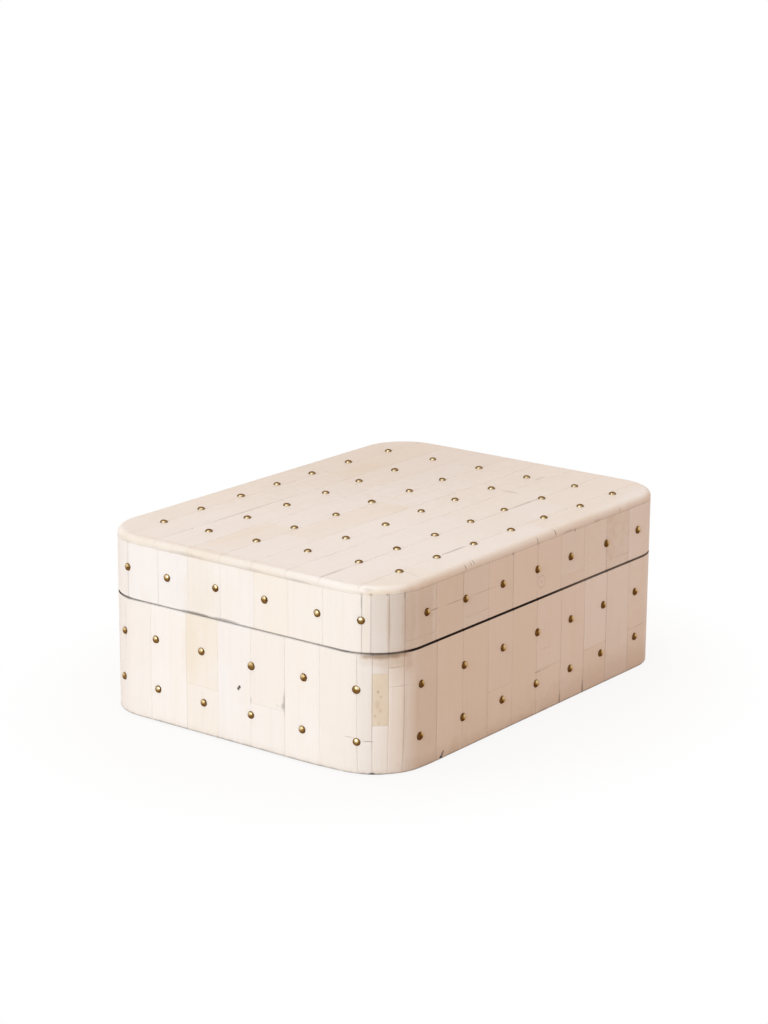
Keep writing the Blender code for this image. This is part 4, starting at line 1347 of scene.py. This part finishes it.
def wood_finish(name, scales):
    """Long streaks along one axis: noise on places that are stretched across the grain."""
    made, shader, pen, place = new_finish(name)
    drawn_out = pen.stretched(place, scales)
    rings = pen.noise(drawn_out, 1.0, 4.0, 0.6)
    pores = pen.noise(drawn_out, 4.0).step(0.60, 0.70)
    colour = pen.layered(WOOD_BROWN, [(rings.step(0.35, 0.70), WOOD_DARK), (pores * 0.6, WOOD_PORE)])
    rough = rings * 0.15 + 0.42
    normal = relief(pen, rings - pores * 0.5, 0.05 * MM, 0.5)
    feed(pen, shader, Base_Color=colour, Roughness=rough, Normal=normal)
    return made


WOOD_ALONG_X = wood_finish("stained_wood_along_x", (ALONG_GRAIN, ACROSS_GRAIN, ACROSS_GRAIN))
WOOD_ALONG_Y = wood_finish("stained_wood_along_y", (ACROSS_GRAIN, ALONG_GRAIN, ACROSS_GRAIN))
tell(WOOD_ALONG_X, WOOD_ALONG_Y)

# %% The felt finish
FELT_BLACK = (0.018, 0.016, 0.015)
FELT_FUZZ = (0.056, 0.050, 0.047)


def felt_finish():
    """Black wool: a fine fuzz of noise in colour and height, and a soft sheen."""
    made, shader, pen, place = new_finish("black_felt")
    fuzz = pen.noise(place, 2600.0, 4.0, 0.7)
    cloud = pen.noise(place, 60.0)
    colour = pen.blend(FELT_BLACK, FELT_FUZZ, (fuzz * 0.8 + cloud * 0.2).step(0.35, 0.75))
    shader.inputs["Sheen Weight"].default_value = 0.2
    rough = fuzz * 0.1 + 0.88
    feed(pen, shader, Base_Color=colour, Roughness=rough, Normal=relief(pen, fuzz, 0.25 * MM, 0.8))
    return made


FELT = felt_finish()
tell(FELT)


# %% Dress the carcass and the hinges
def dress(names, finish):
    """Gives CAD nodes a finish."""
    for name in names:
        node = frame["nodes"][name]
        for slot in node.material_slots:
            slot.material = finish
        if not node.material_slots:
            node.data.materials.append(finish)
    print(f"{finish.name}: {len(names)} nodes of the packed model")


def walls(*sides):
    """The names of the boards of base and lid on these sides."""
    return [f"{half}_{side}_wall" for half in ("base", "lid") for side in sides]


dress([*walls("front", "back"), "base_floor_board", "lid_top_board"], WOOD_ALONG_X)
dress(walls("left", "right"), WOOD_ALONG_Y)
dress([name for name in frame["nodes"] if "hinge" in name], HINGE_BRASS)

# %% The felts
# How far in the rings on a felt's faces are, and how many stops it has over its edge and along
# each side of a rectangle
FELT_RINGS = np.array([18.0, 6.0]) * MM
FELT_EDGE_STOPS = 9
FELT_SIDE_STOPS = 9
FELT_SHARP = math.radians(80)


def felt_pad(name, node, rings):
    """A felt in the space that its CAD node holds, with an edge that is half a circle."""
    low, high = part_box(node)
    half = (high.z - low.z) / 2
    bends = np.linspace(0, math.pi, FELT_EDGE_STOPS)
    heights = (low.z + high.z) / 2 - half * np.cos(bends)
    heights = np.concatenate([[low.z] * 2, heights, [high.z] * 2])
    insets = np.concatenate([FELT_RINGS, half * (1 - np.sin(bends)), FELT_RINGS[::-1]])
    shape = capped(rings(insets, heights, low, high))
    made = piece(name, [shape], FELT, "base", [node], FELT_SHARP)
    weld(made)
    return made, (high.x - low.x, high.y - low.y)


def underside_rings(insets, heights, low, high):
    """The underside felt's rings: the box's outline, brought in to the felt's own edge."""
    return rounded_slab(insets + (LENGTH - (high.x - low.x)) / 2, heights)


def floor_rings(insets, heights, low, high):
    """The floor felt's rings: a rectangle, with a point at each corner and some between."""
    share = np.linspace(-1, 1, FELT_SIDE_STOPS)[:-1]
    one = np.ones(len(share))
    x = np.concatenate([share, one, -share, -one])[:, None] * (high.x - insets)
    y = np.concatenate([-one, share, one, -share])[:, None] * (high.y - insets)
    return come_round(grid(x, y, heights))


underside, under_cut = felt_pad("underside_felt", "base_underside_felt", underside_rings)
floor_felt, floor_cut = felt_pad("floor_felt", "base_floor_felt", floor_rings)

# The underside felt is cut with round corners: each takes its square less a quarter circle
corner_cut = CORNER_RADIUS - (LENGTH - under_cut[0]) / 2
under_area = under_cut[0] * under_cut[1] - (4 - math.pi) * corner_cut**2
print("felts:", np.round(np.array([under_cut, floor_cut]) / MM, 1).tolist(), "mm")
print(f"the underside felt's area is {under_area * 1e4:.1f} square cm")

# %% [markdown]
# ## The camera
#
# The camera stands where the photograph's stood, found from the box's own corners and
# studs: about a metre away, a little above, with a long lens.

# %% The camera
CAMERA_PLACE = (-0.8506, -0.6407, 0.3635)
CAMERA_AZIMUTH = math.radians(37.152)
CAMERA_DROP = math.radians(15.247)
CAMERA_ROLL = math.radians(0.365)
FOCAL_PIXELS = 2667.3
FRAME_HEIGHT = 1024
SENSOR = 36.0


def camera_turn():
    """The camera's axes as columns: right, up, and backwards, rolled a little."""
    azimuth, fall = CAMERA_AZIMUTH, CAMERA_DROP
    ahead = Vector((math.cos(azimuth) * math.cos(fall), math.sin(azimuth) * math.cos(fall), -math.sin(fall)))
    right = Vector((math.sin(azimuth), -math.cos(azimuth), 0.0))
    up = right.cross(ahead)
    rolled_right = right * math.cos(CAMERA_ROLL) + up * math.sin(CAMERA_ROLL)
    rolled_up = rolled_right.cross(ahead)
    return Matrix((rolled_right, rolled_up, -ahead)).transposed().to_4x4()


lens = bpy.data.cameras.new("camera")
lens.sensor_fit = "VERTICAL"
lens.sensor_height = SENSOR
lens.lens = FOCAL_PIXELS * SENSOR / FRAME_HEIGHT
camera = place_in_scene("camera", lens)
camera.matrix_world = camera_turn()
camera.location = CAMERA_PLACE
bpy.context.scene.camera = camera
print(f"lens {lens.lens:.1f} mm")

# %% [markdown]
# ## Light and floor
#
# A broad soft lamp on the left lights the short face, and a weaker one lights the top from
# above. The long face stays in half shade, in the warm light of the room. Enough light to
# turn the floor white would bleach the box. So the floor is plain and pale, and the camera
# sees plain white over it, with only a trace of the shadow near the box. The colours and
# powers of the lamps and of the room were fitted to the colours in the photograph, so the
# lamps are bluish and the room is warm.


# %% Lamps
LAMP_TARGET = Vector((0.0, 0.0, 0.035))


def lamp(name, place, size, power, colour):
    """A square soft lamp that faces the middle of the box."""
    light = bpy.data.lights.new(name, "AREA")
    light.shape = "SQUARE"
    light.size = size
    light.energy = power
    light.color = colour
    made = place_in_scene(name, light)
    made.location = place
    towards = LAMP_TARGET - Vector(place)
    made.rotation_euler = towards.to_track_quat("-Z", "Y").to_euler()
    print(f"{name}: {power} W from {towards.length:.1f} m")


lamp("key_lamp", place=(-1.7, -0.15, 0.75), size=0.9, power=25.35, colour=(0.564, 0.805, 1.0))
lamp("top_lamp", place=(-0.2, 0.3, 1.7), size=1.0, power=9.7, colour=(0.698, 0.873, 1.0))

# %% The white world
WHITE = (1.0, 1.0, 1.0, 1.0)
ROOM_LIGHT = (1.0, 0.668, 0.465, 1.0)
ROOM_STRENGTH = 0.573


def seen_directly(pen):
    """1 for a ray from the camera, or one mirrored or let through, and 0 for others."""
    path = pen.tree.nodes.new("ShaderNodeLightPath")
    names = ("Is Camera Ray", "Is Glossy Ray", "Is Transmission Ray")
    return sum(Wire(pen.tree, path.outputs[name]) for name in names).clamped()


def show(pen, share, plain, white, output):
    """Sends one shader to the output, with a share of a white one over it."""
    mixed = pen.node("ShaderNodeMixShader", {}, {0: share, 1: plain, 2: white})
    end = pen.tree.nodes.new(output)
    pen.tree.links.new(mixed.socket, end.inputs["Surface"])


def white_world():
    """A white background that lights the box with a weaker and warmer light than it shows."""
    world = bpy.data.worlds.new("studio")
    bpy.context.scene.world = world
    world.use_nodes = True
    world.node_tree.nodes.clear()
    pen = Wire(world.node_tree, None)
    room = pen.node("ShaderNodeBackground", {}, {"Color": ROOM_LIGHT, "Strength": ROOM_STRENGTH})
    white = pen.node("ShaderNodeBackground", {}, {"Color": WHITE, "Strength": 1.0})
    show(pen, seen_directly(pen), room, white, "ShaderNodeOutputWorld")


white_world()
print(f"the room lights the box at {ROOM_STRENGTH} of white")

# %% The floor
FLOOR_HALF = 4.0
FLOOR_Z = -0.1 * MM
FLOOR_COLOUR = (0.78, 0.66, 0.57, 1.0)
# How white it is by the box, how far it reaches along X and Y, and the shares of that reach
# between which it turns all white
FLOOR_WHITE = 0.90
FLOOR_REACH = (0.26, 0.22, 1.0)
FLOOR_FADE = (0.42, 0.72)


def white_floor():
    """A plain floor. The camera sees a share of plain white over it, which rises from near
    the box to all of it away from the box."""
    made = bpy.data.materials.new("white_floor")
    made.use_nodes = True
    made.node_tree.nodes.clear()
    pen = Wire(made.node_tree, None)
    place = pen.node("ShaderNodeTexCoord", output="Object")
    away = pen.away(place, (0.0, 0.0, 0.0), FLOOR_REACH).step(*FLOOR_FADE)
    share = away * (1 - FLOOR_WHITE) + FLOOR_WHITE
    matt = pen.node("ShaderNodeBsdfDiffuse", {}, {"Color": FLOOR_COLOUR})
    white = pen.node("ShaderNodeEmission", {}, {"Color": WHITE, "Strength": 1.0})
    show(pen, seen_directly(pen) * share, matt, white, "ShaderNodeOutputMaterial")
    return made


floor_mesh = bpy.data.meshes.new("floor")
corners = [(FLOOR_HALF * x, FLOOR_HALF * y, FLOOR_Z) for x, y in ((-1, -1), (1, -1), (1, 1), (-1, 1))]
floor_mesh.from_pydata(corners, [], [(0, 1, 2, 3)])
floor_mesh.materials.append(white_floor())
floor = place_in_scene("floor", floor_mesh)
bpy.context.scene.view_settings.view_transform = "Standard"
print(f"a floor {2 * FLOOR_HALF:.0f} m across")
